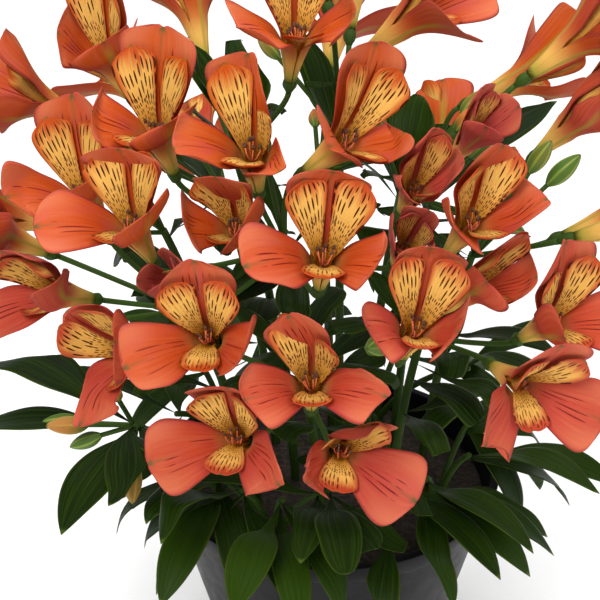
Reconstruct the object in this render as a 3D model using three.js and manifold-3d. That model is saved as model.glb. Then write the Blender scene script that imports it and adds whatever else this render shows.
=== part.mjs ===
// A potted peruvian lily: coral and yellow blooms over dark leafy stems in a tapered plastic pot.
// Millimetres, +Z up, origin at the middle of the pot's underside. The front faces -Y.

import * as THREE from "three";
import { mergeVertices } from "three/addons/utils/BufferGeometryUtils.js";
import Module from "manifold-3d";

const wasm = await Module();
wasm.setup();

// Driving dimensions of the pot and its soil
const POT_HEIGHT = 128;
const POT_TOP_RADIUS = 85;
const POT_BASE_RADIUS = 51;
const POT_WALL = 2.4;
const POT_FLOOR = 3;
const RIM_BAND_HEIGHT = 11;
const RIM_BAND_STEP = 2;
const RIM_ROUND = 0.8;
const DRAIN_HOLES = 6;
const DRAIN_HOLE_RADIUS = 4.5;
const DRAIN_RING_RADIUS = 32;
const DRAIN_HOLE_SIDES = 6;
const SOIL_TOP = 115;
const SOIL_MOUND = 2.5;
const SOIL_LUMPS = 0.9;
const STEM_DEPTH = 26;
const ROUND_SIDES = 24;

// The gap that neighbouring pieces keep, and the smallest edge in a joined piece
const GAP = 0.3;
const SMALLEST_EDGE = 0.03;

// The dome that the throats of the blooms lie on
const DOME_CENTRE = new THREE.Vector3(-8, 0, 222);
const DOME_RADIUS = 146;
const DOME_HEIGHT = 165;
const HEAD_DEPTH = 0.56;

// Driving dimensions of a full-sized bloom
const FUNNEL_LENGTH = 22;
const THROAT_RADIUS = 6.5;
const FUNNEL_BASE_RADIUS = 2.6;
const PETAL_THICKNESS = 1.3;
const GROWTH_STEPS = 24;
const BLOOM_CORE = 8;
const BLOOM_WANT = 30;

// Driving dimensions of the green parts
const STEM_RADIUS = 2.3;
const STEM_CLEAR = 6;
const STEM_LEAN = 0.35;
const STEM_CLIMB = 0.62;
const SHOOT_CLIMB = 0.7;
const SHOOT_RADIUS = 1.8;
const CLUMP_RADIUS = 5;
const PEDICEL_RADIUS = 1.25;
const STALK_START_RADIUS = 0.5;
const STALK_SINK = 1.3;
const STALK_SINK_STEP = 0.37;
const OVARY_RADIUS = 3;
const OVARY_LENGTH = 8;
const BUD_RADIUS = 4.6;
const BUD_LENGTH = 21;
const BUD_WIDEST = 0.45;
const BUD_TIP_RADIUS = 1.6;
const BUD_STALK = 44;
const BUD_SHORT_STALK = 20;
const BUD_STALK_SHARES = [0.8, 1.2];
const BUD_SIZES = [0.7, 1.05];
const BUD_TILTS = [8, 70];
const BUD_TRIES = 60;
const LEAF_LENGTH = 62;
const LEAF_HALF_WIDTH = 10;
const LEAF_THICKNESS = 1.2;
const LEAF_CURL = 0.16;
const LEAF_CORE = 1.2;
const LEAF_WANT = 7;
const LEAF_CLEARANCE = 1.6;
const LEAF_APART = 10;
const LEAF_TRIES = 4;
const SHORTEST_LEAF = 0.6;
const STALK_WANT = 1;

// The kinds of leaves: under the blooms, down the stems and on the low shoots. Lengths and widths
// are shares of the driving dimensions, from the least to the most, and the rest is in degrees.
const HIGH_OUTLINE = { stations: [0.32, 0.68], widths: [0.84, 0.86] };
const LOW_OUTLINE = { stations: [0.34, 0.7], widths: [0.9, 0.86] };
const HEAD_LEAF = {
  lengths: [1, 1.3], widths: [1.15, 1.5], yawSpread: 20, lift: 26, liftSpread: 16, droop: 36, twist: 25,
  outline: HIGH_OUTLINE,
};
const STEM_LEAF = {
  lengths: [0.85, 1.15], widths: [0.85, 1.15], yawSpread: 15, lift: 30, liftSpread: 14, droop: 62,
  twist: 25, outline: HIGH_OUTLINE,
};
const SHOOT_LEAF = {
  lengths: [0.9, 1.2], widths: [0.85, 1.15], yawSpread: 10, lift: 38, liftSpread: 10, droop: 60,
  twist: 20, outline: LOW_OUTLINE,
};

// How far from a bone its neighbours are looked for, and how far a blade's side may twist, in degrees
const REACH = 75;
const LARGEST_TWIST = 25;

// How much further than its sides a blade's middle line stays from its neighbours
const PETAL_SIDE_ROOM = 2.2;
const LEAF_SIDE_ROOM = 0.8;

// The petals of a bloom, seen from its face: the angle runs clockwise from its upper petal.
// The flares are the angles between the petal and the bloom's axis at the throat, at mid length
// and at the tip. The half widths belong to the stations along the blade.
const OUTER_PETALS = {
  angles: [0, 116, 244],
  lengths: [45, 39, 39],
  flares: [[12, 37, 50], [20, 58, 80], [20, 58, 80]],
  stations: [0.4, 0.74, 1],
  halfWidths: [12.5, 17.5, 10],
  notch: 0.06,
  curl: 0.1,
  ringRise: 0.96,
  ringSize: 1,
  cupDepth: 0.3,
  inset: 0,
};
const INNER_PETALS = {
  angles: [33, 183, 333],
  lengths: [37, 22, 37],
  flares: [[10, 35, 46], [18, 48, 36], [10, 35, 46]],
  stations: [0.71, 1],
  halfWidths: [9.6, 6],
  notch: -0.04,
  curl: 0.22,
  ringRise: 1,
  ringSize: 0.62,
  cupDepth: 0.3,
  inset: 0.5,
};

// The open blooms of the front. Longitude runs from the front to the right, latitude up the dome,
// and out is how far the throat stands off the dome. Yaw and pitch say where the bloom faces, roll
// turns it about its own axis, and open is 1 in full bloom.
const FRONT_BLOOMS = [
  { lon: -13, lat: 7, out: 4, yaw: -18, pitch: 36, roll: -4, open: 1, size: 1 },
  { lon: 4, lat: 4, out: -4, yaw: 6, pitch: 32, roll: 12, open: 1, size: 1.02 },
  { lon: -1, lat: 17, out: 16, yaw: 0, pitch: 55, roll: -3, open: 0.95, size: 1 },
  { lon: -18, lat: 22, out: 12, yaw: -10, pitch: 38, roll: -6, open: 0.95, size: 1 },
  { lon: -32, lat: 17, out: 8, yaw: -42, pitch: 26, roll: -58, open: 0.95, size: 1.06 },
  { lon: -58, lat: 34, out: -2, yaw: -40, pitch: 62, roll: -24, open: 0.95, size: 1.06 },
  { lon: -69, lat: 22, out: 14, yaw: -50, pitch: 36, roll: -40, open: 0.95, size: 1.06 },
  { lon: -57, lat: 18, out: -2, yaw: -38, pitch: 30, roll: -24, open: 0.95, size: 1.06 },
  { lon: -36, lat: 34, out: 12, yaw: -30, pitch: 58, roll: -10, open: 1, size: 1.04 },
  { lon: -42, lat: 48, out: 6, yaw: -26, pitch: 60, roll: 0, open: 1, size: 1.08 },
  { lon: -100, lat: 34, out: 12, yaw: -66, pitch: 36, roll: 10, open: 0.95, size: 1.04 },
  { lon: -92, lat: 50, out: 2, yaw: -44, pitch: 60, roll: -10, open: 0.95, size: 1.06 },
  { lon: -16, lat: 49, out: 4, yaw: -8, pitch: 60, roll: 2, open: 1, size: 1.1 },
  { lon: -12, lat: 72, out: 2, yaw: 14, pitch: 68, roll: 0, open: 0.95, size: 1.06 },
  { lon: 6, lat: 52, out: 0, yaw: 58, pitch: 44, roll: 28, open: 0.95, size: 1.06 },
  { lon: 1, lat: 34, out: 6, yaw: 6, pitch: 56, roll: 6, open: 1, size: 1.06 },
  { lon: -18, lat: 38, out: -6, yaw: -22, pitch: 50, roll: -4, open: 0.75, size: 0.97 },
  { lon: 31, lat: 36, out: 6, yaw: 34, pitch: 54, roll: 12, open: 0.95, size: 1.02 },
  { lon: 24, lat: 44, out: -8, yaw: 18, pitch: 50, roll: 0, open: 0.5, size: 0.9 },
  { lon: 16, lat: 23, out: 10, yaw: 18, pitch: 56, roll: 14, open: 0.95, size: 1 },
  { lon: 33, lat: 26, out: -12, yaw: 52, pitch: 46, roll: 20, open: 0.8, size: 0.96 },
  { lon: 48, lat: 16, out: -4, yaw: 34, pitch: 42, roll: 0, open: 1, size: 1.02 },
  { lon: 34, lat: 12, out: 10, yaw: 24, pitch: 10, roll: 4, open: 1, size: 1 },
  { lon: 58, lat: 72, out: 2, yaw: 74, pitch: 44, roll: 0, open: 0.75, size: 1.1 },
  { lon: 90, lat: 47, out: 24, yaw: 90, pitch: 40, roll: 0, open: 0.9, size: 1.06 },
  { lon: 96, lat: 34, out: 0, yaw: 64, pitch: 50, roll: 0, open: 0.6, size: 1.06 },
  { lon: 74, lat: 22, out: 12, yaw: 80, pitch: 20, roll: 0, open: 0.95, size: 1.06 },
  { lon: 19, lat: 35, out: -10, yaw: 12, pitch: 44, roll: 30, open: 0.3, size: 0.86 },
  { lon: 44, lat: 49, out: -4, yaw: 30, pitch: 50, roll: -20, open: 0.25, size: 0.82 },
  { lon: -29, lat: 27, out: -12, yaw: -30, pitch: 44, roll: 15, open: 0.3, size: 0.84 },
];

// The blooms on the sides and at the back follow a spiral over the rest of the dome
const BACK_SPIRAL_POINTS = 70;
const BACK_SPACING = 55;
const BACK_OPEN = [0.8, 1];
const BACK_SIZES = [1, 1.08];
const BLOOM_COUNT = 41;
const GOLDEN_ANGLE = 137.508;

// The flower heads, each on a leafy stem of its own. The last one has only buds as yet.
const HEADS = [
  { lon: -5, lat: 6, root: 46, buds: 1, leafCount: 10, seed: 0 },
  { lon: 38, lat: 14, root: 46, buds: 1, leafCount: 12, seed: 1 },
  { lon: -52, lat: 18, root: 46, buds: 1, leafCount: 12, seed: 7 },
  { lon: 84, lat: 22, root: 46, buds: 3, leafCount: 10, seed: 0 },
  { lon: -98, lat: 24, root: 46, buds: 2, leafCount: 11, seed: 0 },
  { lon: 132, lat: 20, root: 46, buds: 2, leafCount: 6, seed: 0 },
  { lon: 178, lat: 20, root: 46, buds: 2, leafCount: 6, seed: 0 },
  { lon: -142, lat: 22, root: 46, buds: 2, leafCount: 6, seed: 2 },
  { lon: -14, lat: 44, root: 18, buds: 1, leafCount: 12, seed: 0 },
  { lon: 60, lat: 56, root: 18, buds: 4, leafCount: 11, seed: 0 },
  { lon: -96, lat: 62, root: 18, buds: 1, leafCount: 9, seed: 2 },
  { lon: 164, lat: 58, root: 18, buds: 2, leafCount: 6, seed: 0 },
  { lon: -56, lat: -14, root: 60, buds: 6, leafCount: 6, seed: 3, flowerless: true },
];
const HEAD_LEAVES = 6;

// The low shoots without flowers, in clumps that share one root
const CLUMPS = [
  { lon: -28, shoots: [-50, -34, -17, 0], leafCount: 5, seed: 0 },
  { lon: 60, shoots: [17, 34, 54, 76], leafCount: 5, seed: 7 },
  { lon: 155, shoots: [112, 152, 192], leafCount: 3, seed: 0 },
  { lon: -120, shoots: [-92, -124, -156], leafCount: 3, seed: 0 },
];
const CLUMP_RING_RADIUS = 60;
const SHOOT_RISE = 162;
const SHOOT_REACH = 78;
const STEM_SIDES = 4;
const STALK_SIDES = 4;
const CLUMP_SIDES = 5;

const RAD = Math.PI / 180;
const UP = new THREE.Vector3(0, 0, 1);

// Random numbers that are the same in every run
function makeDraw(seed) {
  let state = (seed * 7919 + 12345) % 4294967296;
  const draw = () => {
    state = (state * 1664525 + 1013904223) % 4294967296;
    return state / 4294967296;
  };
  draw();
  draw();
  return draw;
}

function spread(draw, amount) {
  return (draw() * 2 - 1) * amount;
}

function mix(a, b, share) {
  return a + (b - a) * share;
}

function between([least, most], share) {
  return mix(least, most, share);
}

function direction(yaw, pitch) {
  const level = Math.cos(pitch * RAD);
  return new THREE.Vector3(
    Math.sin(yaw * RAD) * level, -Math.cos(yaw * RAD) * level, Math.sin(pitch * RAD));
}

function along(start, way, distance) {
  return start.clone().addScaledVector(way, distance);
}

function domePoint(lon, lat, out = 0, depth = 1) {
  const way = direction(lon, lat);
  const radius = (DOME_RADIUS + out) * depth;
  const height = (DOME_HEIGHT + out) * depth;
  return new THREE.Vector3(way.x * radius, way.y * radius, way.z * height).add(DOME_CENTRE);
}

// Bones. Every bloom, stem, stalk, bud and leaf has a straight bone. The core is the radius that
// it needs around the bone, and want is the room that it would like to have.
const bones = [];

function makeBone(node, a, b, core, want) {
  return { node, a: a.clone(), b: b.clone(), core, want };
}

function addBone(...values) {
  const bone = makeBone(...values);
  bones.push(bone);
  return bone;
}

function closest(p, q) {
  const u = p.b.clone().sub(p.a);
  const v = q.b.clone().sub(q.a);
  const w = p.a.clone().sub(q.a);
  const uu = u.dot(u);
  const uv = u.dot(v);
  const vv = v.dot(v);
  const uw = u.dot(w);
  const vw = v.dot(w);
  const det = uu * vv - uv * uv;
  const clamp = THREE.MathUtils.clamp;
  let s = det > 1e-9 ? clamp((uv * vw - vv * uw) / det, 0, 1) : 0;
  const t = clamp((uv * s + vw) / vv, 0, 1);
  s = clamp((uv * t - uw) / uu, 0, 1);
  return { onP: along(p.a, u, s), onQ: along(q.a, v, t) };
}

function boneGap(p, q) {
  const { onP, onQ } = closest(p, q);
  return onP.distanceTo(onQ) - p.core - q.core;
}

// The plane between a bone and a neighbour: its normal points away from the bone
function sidePlane(bone, other) {
  const { onP, onQ } = closest(bone, other);
  const normal = onQ.clone().sub(onP);
  const distance = normal.length();
  normal.divideScalar(distance);
  const spare = distance - bone.core - other.core - GAP;
  const room = bone.core + spare * bone.want / (bone.want + other.want);
  return { normal, limit: onP.dot(normal) + room };
}

// The plane that keeps a leaf above the pot's rim, on the side that the leaf points to
function rimPlane(bone) {
  const outward = new THREE.Vector3(bone.b.x, bone.b.y, 0).normalize();
  const normal = outward.clone().add(UP).normalize().negate();
  const rim = outward.multiplyScalar(POT_TOP_RADIUS + RIM_BAND_STEP).setZ(POT_HEIGHT);
  return { normal, limit: rim.dot(normal) - GAP };
}

function planesAround(bone) {
  const near = bones.filter((other) => other.node !== bone.node && boneGap(bone, other) < REACH);
  return [...near.map((other) => sidePlane(bone, other)), rimPlane(bone)];
}

// How far from a point inside the planes one can go towards another point
function shareInside(from, to, planes, margin) {
  let share = 1;
  for (const { normal, limit } of planes) {
    const start = from.dot(normal);
    const rise = to.dot(normal) - start;
    if (start + rise > limit - margin && rise > 1e-9) {
      share = Math.min(share, Math.max(0, (limit - margin - start) / rise));
    }
  }
  return share;
}

function pressInside(point, planes, margin) {
  for (const { normal, limit } of planes) {
    const over = point.dot(normal) - (limit - margin);
    if (over > 0) point.addScaledVector(normal, -over);
  }
}

// Draws a line step by step. A step that would cross a plane is turned along it.
function growLine(start, length, wayAt, planes, margin) {
  const points = [start.clone()];
  for (let i = 0; i < GROWTH_STEPS; i += 1) {
    const from = points[i];
    const next = along(from, wayAt((i + 0.5) / GROWTH_STEPS), length / GROWTH_STEPS);
    pressInside(next, planes, margin);
    points.push(from.clone().lerp(next, shareInside(from, next, planes, margin)));
  }
  return points;
}

// A point beside a line, pressed onto the planes that it would cross. Where that would twist the
// blade too far from the way that its side took before, it keeps that way and is cut short.
function besideLine(middle, wanted, planes, margin, before = wanted.clone().sub(middle)) {
  const point = wanted.clone();
  for (let pass = 0; pass < 3; pass += 1) pressInside(point, planes, margin);
  if (point.clone().sub(middle).angleTo(before) > LARGEST_TWIST * RAD) {
    point.copy(along(middle, before.clone().normalize(), wanted.distanceTo(middle)));
  }
  return middle.clone().lerp(point, shareInside(middle, point, planes, margin));
}

// Collects points and faces of a closed skin
class Skin {
  constructor() {
    this.points = [];
    this.faces = [];
  }
  point(place) {
    this.points.push(place.x, place.y, place.z);
    return this.points.length / 3 - 1;
  }
  face(a, b, c, turned) {
    this.faces.push(a, ...(turned ? [c, b] : [b, c]));
  }
  strip(near, far, turned = false) {
    for (let i = 0; i + 1 < near.length; i += 1) {
      this.face(near[i], near[i + 1], far[i + 1], turned);
      this.face(near[i], far[i + 1], far[i], turned);
    }
  }
  fan(centre, row, turned = false) {
    for (let i = 0; i + 1 < row.length; i += 1) this.face(centre, row[i], row[i + 1], turned);
  }
  solid() {
    return new wasm.Manifold(new wasm.Mesh({
      numProp: 3,
      vertProperties: new Float32Array(this.points),
      triVerts: new Uint32Array(this.faces),
    }));
  }
}

// A blade's row has two sharp edges, and a middle with a point on each face
function bladeRow(skin, left, middle, right, normal, thickness) {
  const top = skin.point(along(middle, normal, thickness / 2));
  const bottom = thickness > 0 ? skin.point(along(middle, normal, -thickness / 2)) : top;
  return { left: skin.point(left), top, bottom, right: skin.point(right) };
}

function bladeStrip(skin, near, far) {
  skin.strip([near.left, near.top, near.right], [far.left, far.top, far.right]);
  skin.strip([near.left, near.bottom, near.right], [far.left, far.bottom, far.right], true);
}

function bladeTip(skin, row, tip, isRoot) {
  skin.fan(tip, [row.left, row.top, row.right], isRoot);
  skin.fan(tip, [row.left, row.bottom, row.right], !isRoot);
}

// A tube of varying radius along a line of points
function tubeSkin(points, radii, sides) {
  const skin = new Skin();
  const tangents = points.map((point, i) => {
    const next = points[Math.min(i + 1, points.length - 1)];
    return next.clone().sub(points[Math.max(i - 1, 0)]).normalize();
  });
  const start = Math.abs(tangents[0].x) < 0.9 ? new THREE.Vector3(1, 0, 0) : new THREE.Vector3(0, 1, 0);
  let across = start;
  const rings = points.map((point, i) => {
    across = across.clone().addScaledVector(tangents[i], -across.dot(tangents[i])).normalize();
    const beside = new THREE.Vector3().crossVectors(tangents[i], across);
    const ring = [];
    for (let k = 0; k < sides; k += 1) {
      const turn = 2 * Math.PI * k / sides;
      const way = across.clone().multiplyScalar(Math.cos(turn)).addScaledVector(beside, Math.sin(turn));
      ring.push(skin.point(along(point, way, radii[i])));
    }
    return [...ring, ring[0]];
  });
  for (let i = 0; i + 1 < rings.length; i += 1) skin.strip(rings[i], rings[i + 1]);
  skin.fan(rings[0][0], rings[0].slice(1, -1), true);
  skin.fan(rings[rings.length - 1][0], rings[rings.length - 1].slice(1, -1));
  return skin;
}

function tube(points, radii, sides) {
  return tubeSkin(points, radii, sides).solid();
}

// A solid from one of the library's own shapes
function solidOf(geometry) {
  geometry.deleteAttribute("normal");
  geometry.deleteAttribute("uv");
  const merged = mergeVertices(geometry, 1e-4);
  const index = merged.index.array;
  const faces = [];
  for (let i = 0; i < index.length; i += 3) {
    const [a, b, c] = [index[i], index[i + 1], index[i + 2]];
    if (a !== b && b !== c && c !== a) faces.push(a, b, c);
  }
  return new wasm.Manifold(new wasm.Mesh({
    numProp: 3,
    vertProperties: new Float32Array(merged.attributes.position.array),
    triVerts: new Uint32Array(faces),
  }));
}

// The pot
function wallRadius(z) {
  return mix(POT_BASE_RADIUS, POT_TOP_RADIUS, z / POT_HEIGHT);
}

function turned(profile) {
  const points = profile.map(([x, y]) => new THREE.Vector2(x, y));
  return solidOf(new THREE.LatheGeometry(points, ROUND_SIDES).rotateX(Math.PI / 2));
}

function makePot() {
  const band = POT_HEIGHT - RIM_BAND_HEIGHT;
  const lip = POT_TOP_RADIUS + RIM_BAND_STEP;
  let pot = turned([
    [0, 0],
    [POT_BASE_RADIUS - 1, 0],
    [wallRadius(1), 1],
    [wallRadius(band), band],
    [wallRadius(band) + RIM_BAND_STEP, band + RIM_ROUND],
    [lip, POT_HEIGHT - RIM_ROUND],
    [lip - RIM_ROUND, POT_HEIGHT],
    [POT_TOP_RADIUS - POT_WALL, POT_HEIGHT],
    [wallRadius(POT_FLOOR) - POT_WALL, POT_FLOOR],
    [0, POT_FLOOR],
  ]);
  for (let i = 0; i < DRAIN_HOLES; i += 1) {
    const place = direction(i * 360 / DRAIN_HOLES, 0).multiplyScalar(DRAIN_RING_RADIUS);
    const ends = [place.clone().setZ(-1), place.clone().setZ(POT_FLOOR + 1)];
    pot = pot.subtract(tube(ends, [DRAIN_HOLE_RADIUS, DRAIN_HOLE_RADIUS], DRAIN_HOLE_SIDES));
  }
  return pot;
}

// The soil fills the pot, and each stem stands in a plain hole in it
function makeSoil(roots) {
  const side = (z) => wallRadius(z) - POT_WALL - 1.1 * GAP;
  const bottom = POT_FLOOR + GAP;
  const skin = new THREE.LatheGeometry([
    new THREE.Vector2(0, bottom),
    new THREE.Vector2(side(bottom), bottom),
    new THREE.Vector2(side(SOIL_TOP), SOIL_TOP),
    new THREE.Vector2(side(SOIL_TOP) * 0.5, SOIL_TOP + SOIL_MOUND),
    new THREE.Vector2(0, SOIL_TOP + SOIL_MOUND),
  ], ROUND_SIDES).rotateX(Math.PI / 2);
  const places = skin.attributes.position;
  for (let i = 0; i < places.count; i += 1) {
    if (places.getZ(i) > SOIL_TOP + 0.1) {
      const lump = Math.sin(places.getX(i) * 0.19) * Math.cos(places.getY(i) * 0.23);
      places.setZ(i, places.getZ(i) + SOIL_LUMPS * lump);
    }
  }
  let soil = solidOf(skin);
  for (const { foot, radius, sides } of roots) {
    const bottomOfHole = foot.clone().setZ(foot.z - GAP);
    const topOfHole = foot.clone().setZ(SOIL_TOP + SOIL_MOUND + 4);
    const hole = radius + 1.3 * GAP;
    soil = soil.subtract(tube([bottomOfHole, topOfHole], [hole, hole], sides));
  }
  return soil;
}

// Blooms
function listBlooms() {
  const blooms = FRONT_BLOOMS.map((bloom) => {
    return { ...bloom, throat: domePoint(bloom.lon, bloom.lat, bloom.out) };
  });
  for (let i = 0; i < BACK_SPIRAL_POINTS && blooms.length < BLOOM_COUNT; i += 1) {
    const draw = makeDraw(500 + i);
    const lat = Math.asin(0.98 - 0.92 * (i + 0.5) / BACK_SPIRAL_POINTS) / RAD;
    const lon = (i * GOLDEN_ANGLE) % 360 - 180;
    const throat = domePoint(lon, lat, spread(draw, 6));
    const facing = { yaw: lon + spread(draw, 20), pitch: lat * 0.6 + 8 + spread(draw, 14) };
    const roll = spread(draw, 30);
    const shape = { roll, open: between(BACK_OPEN, draw()), size: between(BACK_SIZES, draw()) };
    if (blooms.every((other) => other.throat.distanceTo(throat) > BACK_SPACING)) {
      blooms.push({ lon, lat, ...facing, ...shape, throat });
    }
  }
  blooms.forEach((bloom, i) => {
    bloom.name = `bloom_${String(i + 1).padStart(2, "0")}`;
    bloom.axis = direction(bloom.yaw, bloom.pitch);
    bloom.base = along(bloom.throat, bloom.axis, -FUNNEL_LENGTH * bloom.size);
    const side = new THREE.Vector3().crossVectors(bloom.axis, UP).normalize();
    const upright = new THREE.Vector3().crossVectors(side, bloom.axis);
    bloom.upright = upright.applyAxisAngle(bloom.axis, -bloom.roll * RAD);
    bloom.bone = addBone(bloom.name, along(bloom.base, bloom.axis, GAP),
      along(bloom.throat, bloom.axis, 4), BLOOM_CORE, BLOOM_WANT * bloom.open);
  });
  return blooms;
}

// One whorl of three petals on a funnel, in one closed skin
function makeWhorl(bloom, petals, planes) {
  const { axis, upright, size, base } = bloom;
  const skin = new Skin();
  const funnel = FUNNEL_LENGTH * size;
  const ringRadius = THROAT_RADIUS * size * petals.ringSize;
  const ringCentre = along(base, axis, petals.ringRise * funnel);
  const radial = (angle) => upright.clone().applyAxisAngle(axis, -angle * RAD);
  const { angles } = petals;
  const splits = angles.map((angle, i) => (angle + (angles[i + 1] ?? angles[0] + 360)) / 2);
  const edges = splits.map((angle) => skin.point(along(ringCentre, radial(angle), ringRadius)));
  const rows = angles.map((angle, i) => {
    const middle = along(ringCentre, radial(angle), ringRadius);
    const flare = petals.flares[i][0] * RAD;
    const normal = axis.clone().multiplyScalar(Math.sin(flare));
    normal.addScaledVector(radial(angle), -Math.cos(flare));
    return {
      left: edges[(i + angles.length - 1) % angles.length],
      top: skin.point(along(middle, normal, PETAL_THICKNESS / 2)),
      bottom: skin.point(along(middle, normal, -PETAL_THICKNESS / 2)),
      right: edges[i],
    };
  });
  const outerRing = [...rows.flatMap((row) => [row.bottom, row.right]), rows[0].bottom];
  const innerRing = [...rows.flatMap((row) => [row.top, row.right]), rows[0].top];
  if (petals === INNER_PETALS) {
    skin.fan(skin.point(along(base, axis, funnel * 0.4)), outerRing);
  } else {
    const foot = along(base, axis, GAP);
    const baseRing = angles.flatMap((angle, i) => [angle, splits[i]])
      .map((angle) => skin.point(along(foot, radial(angle), FUNNEL_BASE_RADIUS * size)));
    skin.strip(outerRing, [...baseRing, baseRing[0]]);
    skin.fan(baseRing[0], baseRing.slice(1));
  }
  skin.fan(skin.point(along(ringCentre, axis, -petals.cupDepth * funnel)), innerRing, true);
  angles.forEach((angle, i) => {
    const root = along(ringCentre, radial(angle), ringRadius);
    const before = splits[(i + splits.length - 1) % splits.length];
    const sides = [radial(splits[i] + 90), radial(before - 90)];
    const own = sides.map((normal) => ({ normal, limit: ringCentre.dot(normal) }));
    addPetal(skin, bloom, petals, i, rows[i], root, radial(angle), [...planes, ...own]);
  });
  return skin.solid();
}

function addPetal(skin, bloom, petals, index, firstRow, root, radial, planes) {
  const { axis, size, open } = bloom;
  const side = new THREE.Vector3().crossVectors(radial, axis).normalize();
  const [atThroat, atMiddle, atTip] = petals.flares[index];
  const wayAt = (share) => {
    const flare = share < 0.5 ? mix(atThroat, atMiddle, share * 2) : mix(atMiddle, atTip, share * 2 - 1);
    const way = axis.clone().multiplyScalar(Math.cos(flare * open * RAD));
    return way.addScaledVector(radial, Math.sin(flare * open * RAD));
  };
  const margin = GAP / 2 + PETAL_THICKNESS / 2 + petals.inset;
  const line = growLine(root, petals.lengths[index] * size, wayAt, planes, margin + PETAL_SIDE_ROOM);
  let near = firstRow;
  const before = {};
  petals.stations.forEach((station, i) => {
    const isTip = i === petals.stations.length - 1;
    const at = Math.round(station * GROWTH_STEPS);
    const tangent = line[at].clone().sub(line[at - 3]).normalize();
    const normal = new THREE.Vector3().crossVectors(side, tangent).normalize();
    const across = new THREE.Vector3().crossVectors(tangent, normal).normalize();
    const halfWidth = petals.halfWidths[i] * size * (0.55 + 0.45 * open);
    const edge = (way) => {
      const wanted = along(along(line[at], across, way * halfWidth), normal, halfWidth * petals.curl);
      const point = besideLine(line[at], wanted, planes, margin, before[way]);
      before[way] = point.clone().sub(line[at]);
      return point;
    };
    const notch = isTip ? petals.notch * petals.lengths[index] * size : 0;
    const middle = besideLine(line[at], along(line[at], tangent, -notch), planes, margin);
    const far = bladeRow(skin, edge(-1), middle, edge(1), normal, isTip ? 0 : PETAL_THICKNESS);
    bladeStrip(skin, near, far);
    near = far;
  });
}

function makeBloom(bloom) {
  const planes = planesAround(bloom.bone);
  return joined([makeWhorl(bloom, OUTER_PETALS, planes), makeWhorl(bloom, INNER_PETALS, planes)]);
}

// The point that pulls a stem's curve: it climbs steeply first and leans outward later
function bendPoint(foot, head, rise) {
  const bend = foot.clone().lerp(head, STEM_LEAN);
  return bend.setZ(mix(foot.z, head.z, rise));
}

// Stems. A curved path from the soil to the head, in a few straight bones.
function stemPath(foot, head) {
  const exit = foot.clone().setZ(SOIL_TOP + SOIL_MOUND + STEM_CLEAR);
  const curve = new THREE.QuadraticBezierCurve3(exit, bendPoint(exit, head, STEM_CLIMB), head);
  return [foot, ...curve.getPoints(4)];
}

function addPathBones(node, path, radius) {
  for (let i = 0; i + 1 < path.length; i += 1) addBone(node, path[i], path[i + 1], radius, STALK_WANT);
}

function listStems(blooms) {
  const stems = HEADS.map((head, i) => {
    const centre = domePoint(head.lon, head.lat, 0, head.flowerless ? 0.74 : HEAD_DEPTH);
    const foot = direction(head.lon, 0).multiplyScalar(head.root).setZ(SOIL_TOP - STEM_DEPTH);
    const name = `stem_${String(i + 1).padStart(2, "0")}`;
    const path = stemPath(foot, centre);
    return { ...head, name, centre, foot, path, stalks: [], leaves: [], budList: [] };
  });
  const flowering = stems.filter((stem) => !stem.flowerless);
  for (const bloom of blooms) {
    const distances = flowering.map((stem) => stem.centre.distanceTo(bloom.base));
    const stem = flowering[distances.indexOf(Math.min(...distances))];
    const length = stem.centre.distanceTo(bloom.base);
    const bend = along(bloom.base, bloom.axis, -Math.min(18, length * 0.4));
    stem.stalks.push({ bend, end: bloom.base, axis: bloom.axis, size: bloom.size });
  }
  for (const stem of stems) {
    addPathBones(stem.name, stem.path, STEM_RADIUS);
    for (const stalk of stem.stalks) {
      addBone(stem.name, stem.centre, stalk.bend, PEDICEL_RADIUS, STALK_WANT);
      addBone(stem.name, stalk.bend, stalk.end, OVARY_RADIUS, STALK_WANT);
    }
  }
  return stems;
}

// Buds stand in the gaps between the blooms
function addBuds(stem, index) {
  const outward = stem.centre.clone().sub(DOME_CENTRE).setZ(stem.centre.z - DOME_CENTRE.z + 30).normalize();
  const side = new THREE.Vector3().crossVectors(outward, UP).normalize();
  for (let i = 0; i < BUD_TRIES && stem.budList.length < stem.buds; i += 1) {
    const draw = makeDraw(2000 + index * 100 + i);
    const tilt = between(BUD_TILTS, draw()) * RAD;
    const way = outward.clone().applyAxisAngle(side, tilt).applyAxisAngle(outward, draw() * 2 * Math.PI);
    const size = between(BUD_SIZES, draw());
    const stalk = (stem.flowerless ? BUD_SHORT_STALK : BUD_STALK) * between(BUD_STALK_SHARES, draw());
    const base = along(stem.centre, way, stalk);
    const tip = along(base, way, BUD_LENGTH * size);
    const body = makeBone(stem.name, base, tip, BUD_RADIUS * size, STALK_WANT);
    const foot = makeBone(stem.name, along(stem.centre, way, 10), base, PEDICEL_RADIUS, STALK_WANT);
    const clear = bones.every((other) => other.node === stem.name
      || (boneGap(body, other) > 2 && boneGap(foot, other) > 1));
    const apart = stem.budList.every((bud) => bud.tip.distanceTo(tip) > 2.4 * BUD_RADIUS);
    const free = stem.stalks.every((other) => tip.distanceTo(other.end) > 14);
    if (clear && apart && free) {
      stem.budList.push({ base, tip, way, size });
      bones.push(body, foot);
    }
  }
}

// A leaf's midrib leaves its stem at one pitch and droops to another
function leafWay(leaf) {
  return (share) => direction(leaf.yaw, mix(leaf.pitch, leaf.droop, share));
}

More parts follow.
